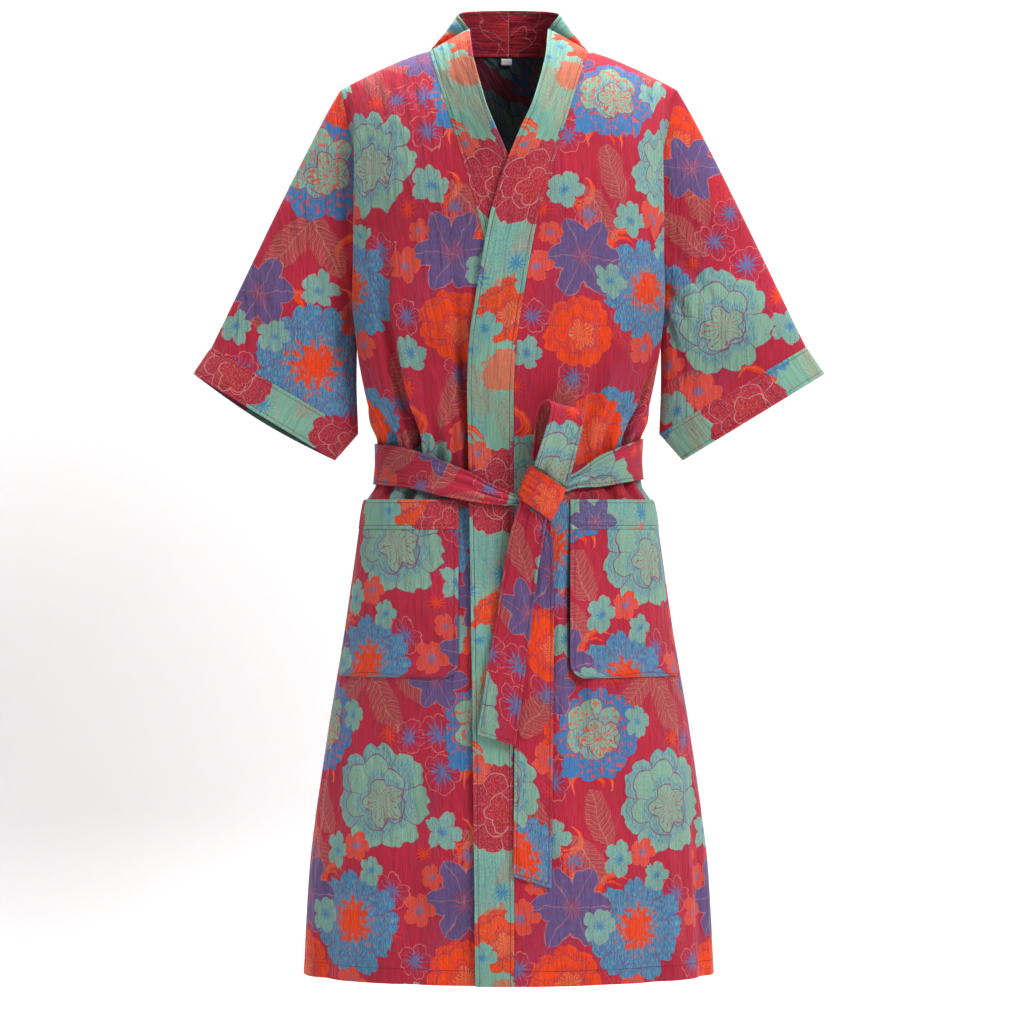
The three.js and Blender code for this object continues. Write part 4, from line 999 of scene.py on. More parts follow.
def solid_object(name, sheet, material, uv):
    """A closed solid through the rings of a sheet, its two ends filled and drawn in a little."""
    columns = sheet.grid.shape[1]
    heart = sheet.grid[len(sheet.grid) // 2].mean(axis=0)

    def drawn_in(ring):
        middle = ring.mean(axis=0)
        lean = (heart - middle) * END_LEAN
        return np.stack([middle + (ring - middle) * share for share in END_SHARES]) + lean

    grid = np.concatenate([drawn_in(sheet.grid[0])[::-1], sheet.grid, drawn_in(sheet.grid[-1])])
    added = len(END_SHARES)
    uv = np.pad(uv, ((added, added), (0, 0), (0, 0)), mode="edge")
    count = len(grid) * columns
    tips = np.stack([grid[0].mean(axis=0), grid[-1].mean(axis=0)])
    points = np.concatenate([grid.reshape(-1, 3), tips])
    index = closed_round(sheet, np.arange(count).reshape(-1, columns))
    place = np.arange(uv[..., 0].size).reshape(uv.shape[:2])
    blocks = [(quads(index), quads(place), 0)]
    for tip, row, way in ((count, 0, -1), (count + 1, -1, 1)):
        ring = index[row][::way]
        spots = place[row][::way]
        middle = np.full(columns, tip)
        start = np.full(columns, place[row, 0])
        blocks.append((
            np.stack([middle, ring[:-1], ring[1:]], axis=-1),
            np.stack([start, spots[:-1], spots[1:]], axis=-1), 0))
    return mesh_object(
        name, points, blocks, sheet.sign < 0, uv, (TILE, CLOTH_PRINT), (material,))


class Number:
    """A value that varies over the cloth, written in a material as ordinary maths."""

    def __init__(self, maths, socket):
        self.maths = maths
        self.socket = socket

    def __add__(self, other):
        return self.maths.do("ADD", self, other)

    __radd__ = __add__

    def __sub__(self, other):
        return self.maths.do("SUBTRACT", self, other)

    def __rsub__(self, other):
        return self.maths.do("SUBTRACT", other, self)

    def __mul__(self, other):
        return self.maths.do("MULTIPLY", self, other)

    __rmul__ = __mul__

    def __truediv__(self, other):
        return self.maths.do("DIVIDE", self, other)

    def __pow__(self, other):
        return self.maths.do("POWER", self, other)

    def __abs__(self):
        return self.maths.do("ABSOLUTE", self)


class Maths:
    """Adds nodes to a material."""

    def __init__(self, tree):
        self.tree = tree

    def put(self, socket, value):
        if isinstance(value, Number):
            value = value.socket
        if isinstance(value, bpy.types.NodeSocket):
            self.tree.links.new(value, socket)
        else:
            socket.default_value = value

    def node(self, kind, *values, **settings):
        node = self.tree.nodes.new(kind)
        for key, value in settings.items():
            setattr(node, key, value)
        for socket, value in zip(node.inputs, values):
            self.put(socket, value)
        return node

    def do(self, operation, *values):
        return Number(self, self.node("ShaderNodeMath", *values, operation=operation).outputs[0])

    def vector(self, operation, *values):
        return self.node("ShaderNodeVectorMath", *values, operation=operation).outputs[0]

    def parts(self, vector):
        node = self.node("ShaderNodeSeparateXYZ", vector)
        return [Number(self, socket) for socket in node.outputs]

    def join(self, x, y, z=0.0):
        return self.node("ShaderNodeCombineXYZ", x, y, z).outputs[0]

    def ramp(self, value, start, end):
        """0 at start, 1 at end, smooth between them."""
        node = self.node(
            "ShaderNodeMapRange", value, start, end, 0.0, 1.0, interpolation_type="SMOOTHSTEP")
        return Number(self, node.outputs[0])

    def below(self, value, limit, blur):
        """1 where a value is below a limit, blurred a little."""
        return self.ramp(value, limit + blur, limit - blur)

    def line(self, value, half, blur):
        """1 within a half width of zero."""
        return self.ramp(abs(value), half + blur, half - blur)

    def high(self, a, b):
        return self.do("MAXIMUM", a, b)

    def sin(self, value):
        return self.do("SINE", value)

    def cos(self, value):
        return self.do("COSINE", value)

    def blend(self, share, a, b):
        """Colour b over colour a."""
        node = self.node("ShaderNodeMix", data_type="RGBA")
        self.put(node.inputs[0], share)
        self.put(node.inputs[6], a)
        self.put(node.inputs[7], b)
        return node.outputs[2]

    def noise(self, vector, scale, detail=2.0, roughness=0.5):
        node = self.node("ShaderNodeTexNoise", noise_dimensions="2D")
        self.put(node.inputs["Vector"], vector)
        self.put(node.inputs["Scale"], scale)
        self.put(node.inputs["Detail"], detail)
        self.put(node.inputs["Roughness"], roughness)
        return node


# The print. Each motif stands at x, y in millimetres from the middle of the green peony, with its
# radius, and a tag: a kind of colouring, or for leaves and tendrils the way they point.
TILE = (236.0, 787.0)
CLOTH_PRINT = {
    "tendril": [
        (84, -76, 34, 0.6), (-72, -104, 26, 2.6), (100, -42, 24, -0.6), (-104, 20, 30, 1.6),
        (66, 270, 34, 0.9), (-60, 344, 28, 2.4), (20, -330, 28, 0.3), (84, 330, 30, 2.0),
    ],
    "leaf": [
        (-48, 126, 46, -2.3), (6, 118, 44, -1.1), (48, 134, 36, -0.6),
        (-92, -20, 40, 1.9), (-106, -66, 38, -1.0), (-4, -262, 40, -1.9),
        (-76, 222, 40, -0.5), (52, 208, 38, 2.2), (96, 344, 42, -1.4), (-26, 424, 42, 0.8),
        (84, -300, 38, 1.1), (-30, 300, 34, 1.8),
    ],
    "outline": [
        (42, 74, 22, 0), (76, 78, 24, 0), (104, 100, 20, 0), (12, 76, 19, 1), (82, 30, 25, 0),
        (14, -112, 23, 0), (10, -162, 24, 1), (-20, -300, 23, 0), (24, -282, 21, 1),
        (84, 246, 23, 0), (-96, 308, 24, 0), (10, 364, 24, 1), (60, 416, 22, 0), (-72, 60, 20, 1),
        (44, -196, 22, 0), (-60, 408, 20, 1), (30, 262, 20, 1), (-100, -104, 22, 1),
        (54, -66, 18, 1), (112, -70, 20, 0), (-76, 156, 22, 1), (22, 166, 20, 0), (110, 214, 22, 1),
        (-50, -216, 22, 1), (98, -270, 22, 0), (-110, 360, 22, 0), (110, 400, 20, 1),
    ],
    "scribble": [
        (84, -170, 34, 0), (74, 146, 30, 0), (-66, -200, 30, 1), (104, 160, 26, 1),
        (-20, 200, 34, 0), (-84, 392, 32, 1), (20, 458, 30, 0), (-64, -268, 30, 0),
        (52, -10, 26, 0), (20, 330, 30, 1),
    ],
    "daisy": [(-40, -152, 64, 0), (72, 312, 58, 0), (-76, 460, 54, 0)],
    "peony": [
        (0, 0, 66, 0), (-96, 84, 58, 1), (104, -212, 46, 2), (-30, 273, 60, 1), (40, 392, 54, 0),
        (-100, -330, 48, 2),
    ],
    "flower": [
        (82, -40, 25, 0), (-34, -60, 20, 1), (-68, -66, 22, 0), (-14, -88, 17, 0),
        (-92, -146, 22, 0), (48, -134, 22, 1), (-42, -224, 21, 1), (-42, 98, 19, 0),
        (104, 44, 14, 2), (20, 224, 22, 1), (98, 198, 24, 0), (-14, 332, 21, 0),
        (104, 438, 25, 1), (40, -240, 21, 0), (-110, 190, 20, 1), (50, 330, 22, 1),
        (-60, 356, 18, 0), (66, -94, 15, 1),
    ],
    "lily": [(108, -122, 52, 0), (78, 142, 38, 0), (-96, 242, 46, 0)],
}
BAND_TILE = (170.0, 380.0)
BAND_PRINT = {
    "tendril": [(20, -196, 26, 0.8), (-30, 60, 24, 2.0), (40, 30, 26, 0.4)],
    "leaf": [(16, 92, 38, -1.2), (-14, 120, 38, 1.9), (24, -64, 34, 0.9), (-56, 20, 36, 1.2)],
    "outline": [(-34, -120, 22, 2), (40, 128, 22, 2), (60, -20, 22, 2), (10, -100, 20, 2)],
    "scribble": [(-10, -84, 34, 2), (18, -150, 40, 3), (-36, 76, 30, 2), (60, 150, 34, 3),
                 (10, 150, 26, 3)],
    "daisy": [(62, 60, 44, 0)],
    "peony": [(8, 0, 54, 3), (64, -190, 46, 3), (10, -158, 40, 2)],
    "flower": [(-16, -178, 21, 0), (28, -122, 19, 0), (-30, -206, 16, 0), (34, 56, 17, 3),
               (-20, 48, 18, 1)],
    "lily": [(-60, -110, 32, 0)],
}
# The print on the sleeves, by x and z as seen from the front.
SLEEVE_TILE = (2000.0, 2000.0)
RIGHT_SLEEVE_PRINT = {
    "tendril": [(-268, -322, 34, 1.0), (-212, -318, 32, -0.4), (-190, -250, 26, 2.0)],
    "leaf": [(-268, -236, 46, -2.3), (-224, -240, 44, -1.1), (-172, -300, 40, 0.9),
             (-300, -330, 34, 2.3)],
    "outline": [(-180, -196, 22, 0), (-196, -440, 24, 0), (-330, -390, 24, 0), (-164, -230, 20, 1)],
    "scribble": [(-180, -270, 34, 1), (-300, -400, 34, 0), (-210, -90, 30, 1)],
    "daisy": [(-240, -386, 74, 0)],
    "peony": [(-226, -146, 66, 1), (-196, -62, 40, 2)],
    "flower": [(-232, -294, 24, 0), (-288, -350, 22, 0), (-334, -340, 22, 0), (-186, -332, 22, 1),
               (-172, -372, 20, 0), (-320, -420, 22, 1)],
    "lily": [(-306, -296, 46, 0)],
}
LEFT_SLEEVE_PRINT = {
    "tendril": [(212, -160, 30, 0.6), (238, -150, 24, 2.0), (300, -410, 26, 1.0)],
    "leaf": [(232, -184, 40, -1.4), (214, -226, 38, 2.4), (206, -420, 36, 0.8)],
    "outline": [(252, -236, 24, 0), (294, -262, 24, 0), (270, -200, 20, 0), (224, -262, 18, 1),
                (330, -300, 20, 1)],
    "scribble": [(214, -282, 28, 0), (262, -170, 28, 1), (244, -404, 30, 0)],
    "daisy": [(190, -300, 40, 0)],
    "peony": [(258, -334, 66, 0), (206, -110, 44, 2)],
    "flower": [(342, -338, 24, 0), (236, -420, 27, 1), (206, -440, 24, 0), (268, -440, 20, 0),
               (196, -384, 20, 1)],
    "lily": [(222, -144, 42, 0)],
}


def lay_print(mesh, corners_at, tile, spots):
    """Give every corner its place within the nearest motif of each kind.

    The place is in radii from the middle of the motif, with the motif's tag as third number.
    All corners of a face take the same motif, so that nothing breaks within a face.
    """
    totals = np.zeros(len(mesh.polygons), dtype=np.int32)
    mesh.polygons.foreach_get("loop_total", totals)
    starts = np.concatenate([[0], np.cumsum(totals)[:-1]])
    middles = np.add.reduceat(corners_at, starts, axis=0) / totals[:, None]
    tile = np.array(tile)
    for kind, rows in spots.items():
        best = np.full(len(middles), np.inf)
        place = np.zeros((len(middles), 2))
        radii = np.ones(len(middles))
        tags = np.zeros(len(middles))
        for x, y, radius, tag in rows:
            off = (middles - (x, y) + tile / 2) % tile - tile / 2
            far = np.hypot(off[:, 0], off[:, 1]) / radius
            nearer = far < best
            best[nearer] = far[nearer]
            place[nearer] = off[nearer]
            radii[nearer] = radius
            tags[nearer] = tag
        values = np.zeros((len(corners_at), 3))
        shift = np.repeat(place - middles, totals, axis=0)
        values[:, :2] = (corners_at + shift) / np.repeat(radii, totals)[:, None]
        values[:, 2] = np.repeat(tags, totals)
        layer = mesh.attributes.new(f"print_{kind}", "FLOAT_VECTOR", "CORNER")
        layer.data.foreach_set("vector", values.ravel())


def is_tag(maths, tag, number):
    return maths.do("COMPARE", tag, float(number), 0.5)


def printed_colour(maths, point, ink, ground):
    """Colour of the print at a point of the cloth in millimetres."""
    wobble = maths.noise(point, 0.028, detail=2.0, roughness=0.6)
    shift = maths.vector("MULTIPLY_ADD", wobble.outputs["Color"], (15, 15, 0), (-7.5, -7.5, 0))
    grain = Number(maths, maths.noise(point, 0.16, detail=2.0).outputs[0])
    px, py, _ = maths.parts(point)
    hatch = maths.noise(maths.join(px * 0.9, py * 0.16), 1.0, detail=1.0)
    hatch = maths.ramp(Number(maths, hatch.outputs[0]), 0.42, 0.64)

    def motif(kind, usual_radius):
        place = maths.node("ShaderNodeAttribute", attribute_name=f"print_{kind}").outputs["Vector"]
        share = 1 / usual_radius
        x, y, tag = maths.parts(
            maths.vector("MULTIPLY_ADD", shift, (share, share, 0), place))
        return x, y, tag, (x * x + y * y) ** 0.5

    def petals(kind, usual_radius, lobes, deep, turned=0.0):
        x, y, tag, r = motif(kind, usual_radius)
        turn = maths.do("ARCTAN2", y, x)
        lobe = abs(maths.cos(turn * (lobes / 2) + turned))
        rim = (1 - deep) + deep * lobe ** 0.55 - 0.06 * maths.ramp(lobe, 0.95, 1.0)
        return x, y, tag, r, turn, rim

    colour = ground

    x, y, tag, r = motif("scribble", 30)
    patch = maths.below(r + grain * 0.8, 1.35, 0.1)
    strokes = maths.line(maths.sin(x * 19 + y * 11 + grain * 18), 0.35, 0.12)
    tint = maths.blend(is_tag(maths, tag, 1), ink["purple"], ink["orange"])
    tint = maths.blend(is_tag(maths, tag, 2), tint, ink["blue"])
    tint = maths.blend(is_tag(maths, tag, 3), tint, ink["orange"])
    solid = is_tag(maths, tag, 3) * 0.7
    colour = maths.blend(patch * maths.high(strokes * 0.6, solid), colour, tint)

    x, y, tag, r = motif("tendril", 30)
    turn = maths.do("ARCTAN2", y, x) - tag
    taper = maths.ramp(maths.cos(turn), -0.6, 0.8)
    arc = maths.line(r - 0.8, taper * 0.14, 0.02)
    spur = maths.line(r - 0.6 - 0.16 * maths.sin(turn), taper * 0.07, 0.02)
    rib = maths.line(r - 0.8, 0.012, 0.01)
    orange = maths.blend(rib, ink["orange"], ink["outline"])
    colour = maths.blend(
        maths.high(arc, spur) * maths.ramp(taper, 0.03, 0.2), colour, orange)

    x, y, tag, r = motif("leaf", 40)
    along = x * maths.cos(tag) + y * maths.sin(tag)
    aside = abs(y * maths.cos(tag) - x * maths.sin(tag))
    width = maths.high(0.0, 1 - along * along) ** 0.62 * 0.4
    comb = maths.do("FRACT", along * 6.0 - aside * 5.0 + 20.0)
    cut = width * (0.86 + 0.2 * comb)
    inside = maths.below(aside, cut, 0.02)
    veins = maths.line(comb - 0.5, 0.09, 0.05)
    veins = maths.high(veins, maths.line(comb - 0.1, 0.05, 0.05) * 0.7)
    veins = maths.high(veins, maths.line(aside - cut, 0.012, 0.014))
    veins = maths.high(veins * inside, maths.line(aside, 0.016, 0.012))
    veins = veins * maths.below(abs(along), 1.0, 0.02)
    colour = maths.blend(inside * 0.08, colour, ink["leaf"])
    colour = maths.blend(veins * 0.95, colour, ink["vein"])

    x, y, tag, r, turn, rim = petals("outline", 22, 5, 0.42)
    pale = maths.blend(is_tag(maths, tag, 1), ink["outline"], ink["violet_line"])
    star = maths.below(r, 0.34 + 0.2 * maths.cos(turn * 10), 0.06)
    ray = maths.line(maths.sin(turn * 7.5), 0.16, 0.1) * maths.below(r, 0.74, 0.05)
    heart = maths.blend(is_tag(maths, tag, 1), ink["blue"], ink["orange"])
    colour = maths.blend(maths.high(star, ray) * 0.8, colour, heart)
    notch = maths.line(maths.cos(turn * 2.5), 0.05, 0.04) * maths.ramp(r, 0.4, 0.46)
    notch = notch * maths.below(r, rim, 0.03)
    edge = maths.high(maths.line(r - rim, 0.022, 0.022), notch * 0.7)
    colour = maths.blend(edge * 0.85, colour, pale)

    x, y, tag, r, turn, rim = petals("daisy", 60, 11, 0.2)
    rays = maths.line(maths.sin(turn * 22 + grain * 5), 0.25, 0.2)
    blue = maths.blend(hatch * 0.6, ink["blue"], ink["leaf"])
    creased = maths.line(maths.sin(turn * 5.5 + 1.57), 0.1, 0.08) * maths.ramp(r, 0.5, 0.62)
    second = maths.line(r - 0.7 - 0.08 * maths.cos(turn * 9), 0.009, 0.009)
    blue = maths.blend(maths.high(creased, second) * 0.6, blue, ink["violet_line"])
    blue = maths.blend(rays * maths.below(r, 0.82, 0.1) * 0.35, blue, ink["purple"])
    heat = maths.below(r + grain * 0.7 + hatch * 0.12, 0.76 + 0.05 * maths.sin(turn * 13), 0.1)
    warm = maths.blend(rays * 0.5, ink["orange"], ink["rose"])
    blue = maths.blend(heat, blue, warm)
    colour = maths.blend(maths.below(r, rim, 0.015), colour, blue)

    x, y, tag, r, turn, rim = petals("peony", 60, 7, 0.17, 0.6)
    mixed = is_tag(maths, tag, 1)
    warm = is_tag(maths, tag, 2)
    red = is_tag(maths, tag, 3)

    def inner(dx, dy, size, depth, lobes):
        ax, ay = x - dx, y - dy
        turned = maths.do("ARCTAN2", ay, ax)
        wave = size + depth * abs(maths.sin(turned * (lobes / 2)))
        return (ax * ax + ay * ay) ** 0.5 - wave, turned

    ring_1, turn_1 = inner(-0.1, 0.1, 0.52, 0.16, 6)
    ring_2, turn_2 = inner(0.08, -0.1, 0.3, 0.14, 5)
    body = maths.blend(warm, ink["leaf"], ink["orange"])
    body = maths.blend(mixed * maths.ramp(ring_1, 0.0, 0.03), body, ink["blue"])
    body = maths.blend(red, body, ink["ground"])
    shade = maths.blend(maths.high(warm, red), ink["blue"], ink["rose"])
    shaded = maths.ramp(abs(ring_1 - 0.1), 0.16, 0.02)
    shaded = maths.high(shaded, maths.ramp(abs(ring_2 - 0.08), 0.12, 0.02))
    body = maths.blend(hatch * shaded * 0.75, body, shade)
    body = maths.blend(mixed * maths.ramp(grain, 0.52, 0.66) * 0.7, body, ink["orange"])
    line_ink = maths.blend(red, ink["violet_line"], ink["outline"])
    lines = maths.high(maths.line(ring_1, 0.011, 0.01), maths.line(ring_2, 0.011, 0.01))
    lines = maths.high(lines, maths.line(r - rim, 0.008, 0.01))
    split = maths.line(maths.cos(turn * 3.5 + 0.6), 0.035, 0.03) * maths.ramp(ring_1, 0.0, 0.02)
    split_1 = maths.line(maths.sin(turn_1 * 3), 0.035, 0.03) * maths.ramp(ring_2, 0.0, 0.02)
    split_1 = split_1 * maths.ramp(ring_1, 0.0, -0.02)
    body = maths.blend(
        maths.high(lines, maths.high(split, split_1)) * 0.95, body, line_ink)
    stamen = maths.line(maths.sin(turn_2 * 10 + grain * 4), 0.25, 0.2)
    stamen = stamen * maths.ramp(ring_2, -0.02, -0.08)
    heart = maths.blend(warm, ink["rose"], ink["leaf"])
    heart = maths.blend(red, heart, ink["orange"])
    body = maths.blend(stamen * 0.9, body, heart)
    colour = maths.blend(maths.below(r, rim, 0.01), colour, body)

    x, y, tag, r = motif("lily", 45)
    turn = maths.do("ARCTAN2", y, x)
    sixth = maths.do("FRACT", turn / (math.pi / 3) + 12.5) - 0.5
    swing = sixth * (math.pi / 3)
    along = r * maths.cos(swing)
    aside = abs(r * maths.sin(swing))
    width = maths.high(0.0, along * (1 - along)) ** 0.62 * 0.72
    petal = maths.below(aside, width, 0.02)
    purple = maths.blend(hatch * 0.35, ink["purple"], ink["blue"])
    purple = maths.blend(maths.line(aside, 0.008, 0.01) * 0.6, purple, ink["outline"])
    colour = maths.blend(petal, colour, purple)
    edge = maths.line(aside - width, 0.01, 0.014) * maths.ramp(along, 0.08, 0.12)
    colour = maths.blend(edge * maths.below(along, 1.0, 0.01) * 0.8, colour, ink["outline"])
    throat = maths.line(maths.sin(turn * 9), 0.3, 0.2) * maths.below(r, 0.26, 0.06)
    colour = maths.blend(throat * 0.8, colour, ink["orange"])

    x, y, tag, r, turn, rim = petals("flower", 22, 5, 0.44)
    fill = maths.blend(is_tag(maths, tag, 1), ink["leaf"], ink["orange"])
    fill = maths.blend(is_tag(maths, tag, 2), fill, ink["blue"])
    fill = maths.blend(is_tag(maths, tag, 3), fill, ink["ground"])
    fill = maths.blend(hatch * 0.25, fill, ink["blue"])
    star = maths.below(r, 0.2 + 0.1 * maths.cos(turn * 10), 0.06)
    ray = maths.line(maths.sin(turn * 12.5), 0.2, 0.15) * maths.below(r, 0.72, 0.1)
    fill = maths.blend(maths.high(star, ray * 0.6) * 0.85, fill, ink["blue"])
    colour = maths.blend(maths.below(r, rim, 0.03), colour, fill)
    thin = maths.line(r - rim, 0.012, 0.02)
    colour = maths.blend(thin * 0.5, colour, ink["outline"])
    dry = maths.noise(maths.join(px * 0.7, py * 0.3), 1.0, detail=1.0, roughness=0.7)
    dry = maths.ramp(Number(maths, dry.outputs[0]), 0.5, 0.72)
    return maths.blend(dry * 0.34, colour, ground)


def linear(red, green, blue):
    """A colour as read off a screen, 0 to 255, in the values that light adds up in."""
    def one(value):
        value /= 255
        return value / 12.92 if value <= 0.04045 else ((value + 0.055) / 1.055) ** 2.4
    return one(red), one(green), one(blue)


def gauze(name, colours, ground, reverse=False):
    """Matt crinkled cotton gauze with the print on it, and the stitches sewn through it. Its wrong
    side is tinted dark blue: partly the reverse's own dull tint, partly painted shade of the robe's
    inside.
    """
    material = bpy.data.materials.new(name)
    material.use_nodes = True
    tree = material.node_tree
    maths = Maths(tree)
    shader = tree.nodes["Principled BSDF"]
    cloth = maths.node("ShaderNodeUVMap", uv_map="cloth").outputs[0]
    point = maths.vector("SCALE", cloth)
    point.node.inputs["Scale"].default_value = 1000
    ink = {key: (*getattr(colours, key)[:3], 1.0) for key in (
        "ground", "leaf", "blue", "orange", "purple", "rose", "outline", "vein", "violet_line")}
    colour = printed_colour(maths, point, ink, ink[ground])

    x, y, _ = maths.parts(point)
    slub = maths.noise(maths.join(x * 0.85, y * 0.03), 1.0, detail=2.0, roughness=0.7)
    slub = Number(maths, slub.outputs[0])
    worn = Number(maths, maths.noise(point, 0.012, detail=0.0).outputs[0])
    speck = Number(maths, maths.noise(point, 0.9, detail=0.0).outputs[0])
    light = 0.5 + slub * 0.62 + worn * 0.24 + speck * 0.16
    grey = maths.join(light, light, light)
    tinted = maths.node("ShaderNodeMix", data_type="RGBA", blend_type="MULTIPLY")
    maths.put(tinted.inputs[0], 1.0)
    maths.put(tinted.inputs[6], colour)
    maths.put(tinted.inputs[7], grey)
    colour = tinted.outputs[2]

    stitch = maths.node("ShaderNodeUVMap", uv_map="stitch").outputs[0]
    off, run, _ = maths.parts(stitch)
    dash = maths.do("FRACT", run * (1 / 0.0034))
    thread = maths.line(off, 0.00035, 0.0002)
    holes = maths.ramp(abs(dash - 0.5), 0.42, 0.36)
    colour = maths.blend(thread * (0.35 + holes * 0.3), colour, (*colours.thread[:3], 1.0))
    # Wrong side: the print pulled 62% toward a dark blue. This is partly the cloth's own reverse
    # tint and partly painted shade of the robe's hollow inside.
    if reverse:
        colour = maths.blend(0.62, colour, (*colours.reverse[:3], 1.0))
    maths.put(shader.inputs["Base Color"], colour)

    crinkle = maths.noise(maths.join(x * 0.3, y * 0.05), 1.0, detail=1.0, roughness=0.6)
    weave = maths.sin(x * 5.2) * maths.sin(y * 5.2)
    pucker = maths.noise(maths.join(x * 0.11, y * 0.028), 1.0, detail=0.0)
    height = Number(maths, crinkle.outputs[0]) * 1.1 + Number(maths, pucker.outputs[0]) * 2.2
    height = height + weave * 0.05
    height = height - maths.line(off, 0.0004, 0.0006) * 0.5
    bump = maths.node("ShaderNodeBump")
    bump.inputs["Strength"].default_value = 0.9
    bump.inputs["Distance"].default_value = 0.0014
    maths.put(bump.inputs["Height"], height)
    maths.put(shader.inputs["Normal"], bump.outputs[0])
    rough = 0.78 + slub * 0.16
    maths.put(shader.inputs["Roughness"], rough)
    shader.inputs["Specular IOR Level"].default_value = 0.25
    shader.inputs["Sheen Weight"].default_value = 0.12
    shader.inputs["Sheen Roughness"].default_value = 0.6
    return material


def label_tape(name, colour):
    """Smooth woven tape with a fine rib."""
    material = bpy.data.materials.new(name)
    material.use_nodes = True
    maths = Maths(material.node_tree)
    shader = material.node_tree.nodes["Principled BSDF"]
    place = maths.node("ShaderNodeUVMap", uv_map="cloth").outputs[0]
    x, y, _ = maths.parts(place)
    rib = maths.sin(y * 9000) * 0.5 + 0.5
    tone = maths.blend(rib * 0.2, (*colour[:3], 1.0), (0.6, 0.6, 0.6, 1.0))
    maths.put(shader.inputs["Base Color"], tone)
    bump = maths.node("ShaderNodeBump")
    bump.inputs["Strength"].default_value = 0.3
    bump.inputs["Distance"].default_value = 0.0002
    maths.put(bump.inputs["Height"], rib + maths.sin(x * 7000) * 0.3)
    maths.put(shader.inputs["Normal"], bump.outputs[0])
    maths.put(shader.inputs["Roughness"], 0.45 + rib * 0.15)
    return material


def studio_paper(name, colour):
    """Matt paper with a faint grain, seen only from its front."""
    material = bpy.data.materials.new(name)
    material.use_nodes = True
    maths = Maths(material.node_tree)
    shader = material.node_tree.nodes["Principled BSDF"]
    grain = maths.node("ShaderNodeTexNoise")
    grain.inputs["Scale"].default_value = 40
    share = Number(maths, grain.outputs[0]) * 0.02
    paper = maths.blend(share, (*colour[:3], 1.0), (0.8, 0.8, 0.8, 1.0))
    maths.put(shader.inputs["Base Color"], paper)
    shader.inputs["Roughness"].default_value = 0.95
    behind = maths.node("ShaderNodeNewGeometry").outputs["Backfacing"]
    clear = maths.node("ShaderNodeBsdfTransparent").outputs[0]
    both = maths.node("ShaderNodeMixShader", behind, shader.outputs[0], clear)
    maths.put(material.node_tree.nodes["Material Output"].inputs["Surface"], both.outputs[0])
    return material


FAR = 1000.0
# How far a stitch line runs from the edge that it is beside, in millimetres
HEM_STITCH = 18
POCKET_STITCH = 5.5
NECK_BAND_STITCH = 5
CUFF_STITCH = 4.5
BELT_STITCH = 4
LABEL_THICKNESS = 0.8
# How far the print of the fronts leans out towards the shoulders, as a share of its height
GRAIN_LEAN = 0.022


def sheet_uv(sheet, flip=(1, 1), at=None, start=(0, 0), base=0, sewn=(),
             inset=POCKET_STITCH):
    """Place of each point on the print, and how far it is from the stitch line, in millimetres.

    at is where the middle of the green peony shows from the front, as x and z; start is that
    place over the sheet itself. sewn names the edges that have a stitch line beside them.
    """
    grid = sheet.grid
    if sheet.wraps:
        grid = np.concatenate([grid, grid[:, :1]], axis=1)
    u, v = arcs(grid, 1), arcs(grid, 0)
    edges = {"left": u, "right": u[:, -1:] - u, "bottom": v, "top": v[-1:] - v}
    off = np.full(u.shape, FAR)
    run = np.zeros(u.shape)
    for name in sewn:
        nearer = edges[name] < off
        off = np.where(nearer, edges[name], off)
        run = np.where(nearer, u if name in ("bottom", "top") else v, run)
    across = flip[0] * (u + base)
    along = flip[1] * v
    origin = (flip[0] * start[0], flip[1] * start[1])
    if at is not None:
        away = (grid[..., 0] - at[0]) ** 2 + (grid[..., 2] - at[1]) ** 2
        hidden = np.zeros(away.shape, dtype=bool)
        hidden[:, :sheet.normals.shape[1]] = sheet.normals[..., 1] > 0
        spot = np.unravel_index(np.argmin(away + hidden * 1e6), away.shape)
        origin = (across[spot], along[spot])
    return np.stack([across - origin[0], along - origin[1], off - inset, run], axis=-1)


def colour_property(label, description, *screen):
    return bpy.props.FloatVectorProperty(
        name=label, description=description, default=linear(*screen), min=0.0, max=1.0, size=3,
        subtype="COLOR")


def length_property(label, description, default, low, high):
    return bpy.props.FloatProperty(
        name=label, description=description, default=default, min=low, max=high, precision=4,
        subtype="DISTANCE", unit="LENGTH")


class RobeSizes(bpy.types.PropertyGroup):
    """Sizes of the cloth that a user may change"""

    cloth_thickness: length_property("Cloth", "Thickness of the panels", 0.0012, 0.0004, 0.003)
    band_thickness: length_property(
        "Bands", "Thickness of the doubled bands", 0.0024, 0.0008, 0.004)
    belt_thickness: length_property("Belt", "Thickness of the doubled belt", 0.0026, 0.0008, 0.004)
    seam_gap: length_property("Seam", "Width of the line between panels", 0.0001, 0.0001, 0.001)
    mesh_step: length_property("Mesh step", "Width of a panel's mesh cells", 0.0036, 0.002, 0.012)
    ripple_height: length_property("Ripples", "Unevenness of the cloth", 0.0007, 0.0, 0.002)
    crease_depth: bpy.props.FloatProperty(
        name="Creases", description="Depth of folds and creases, as a share of the usual one",
        default=1.15, min=0.3, max=1.3, subtype="FACTOR")


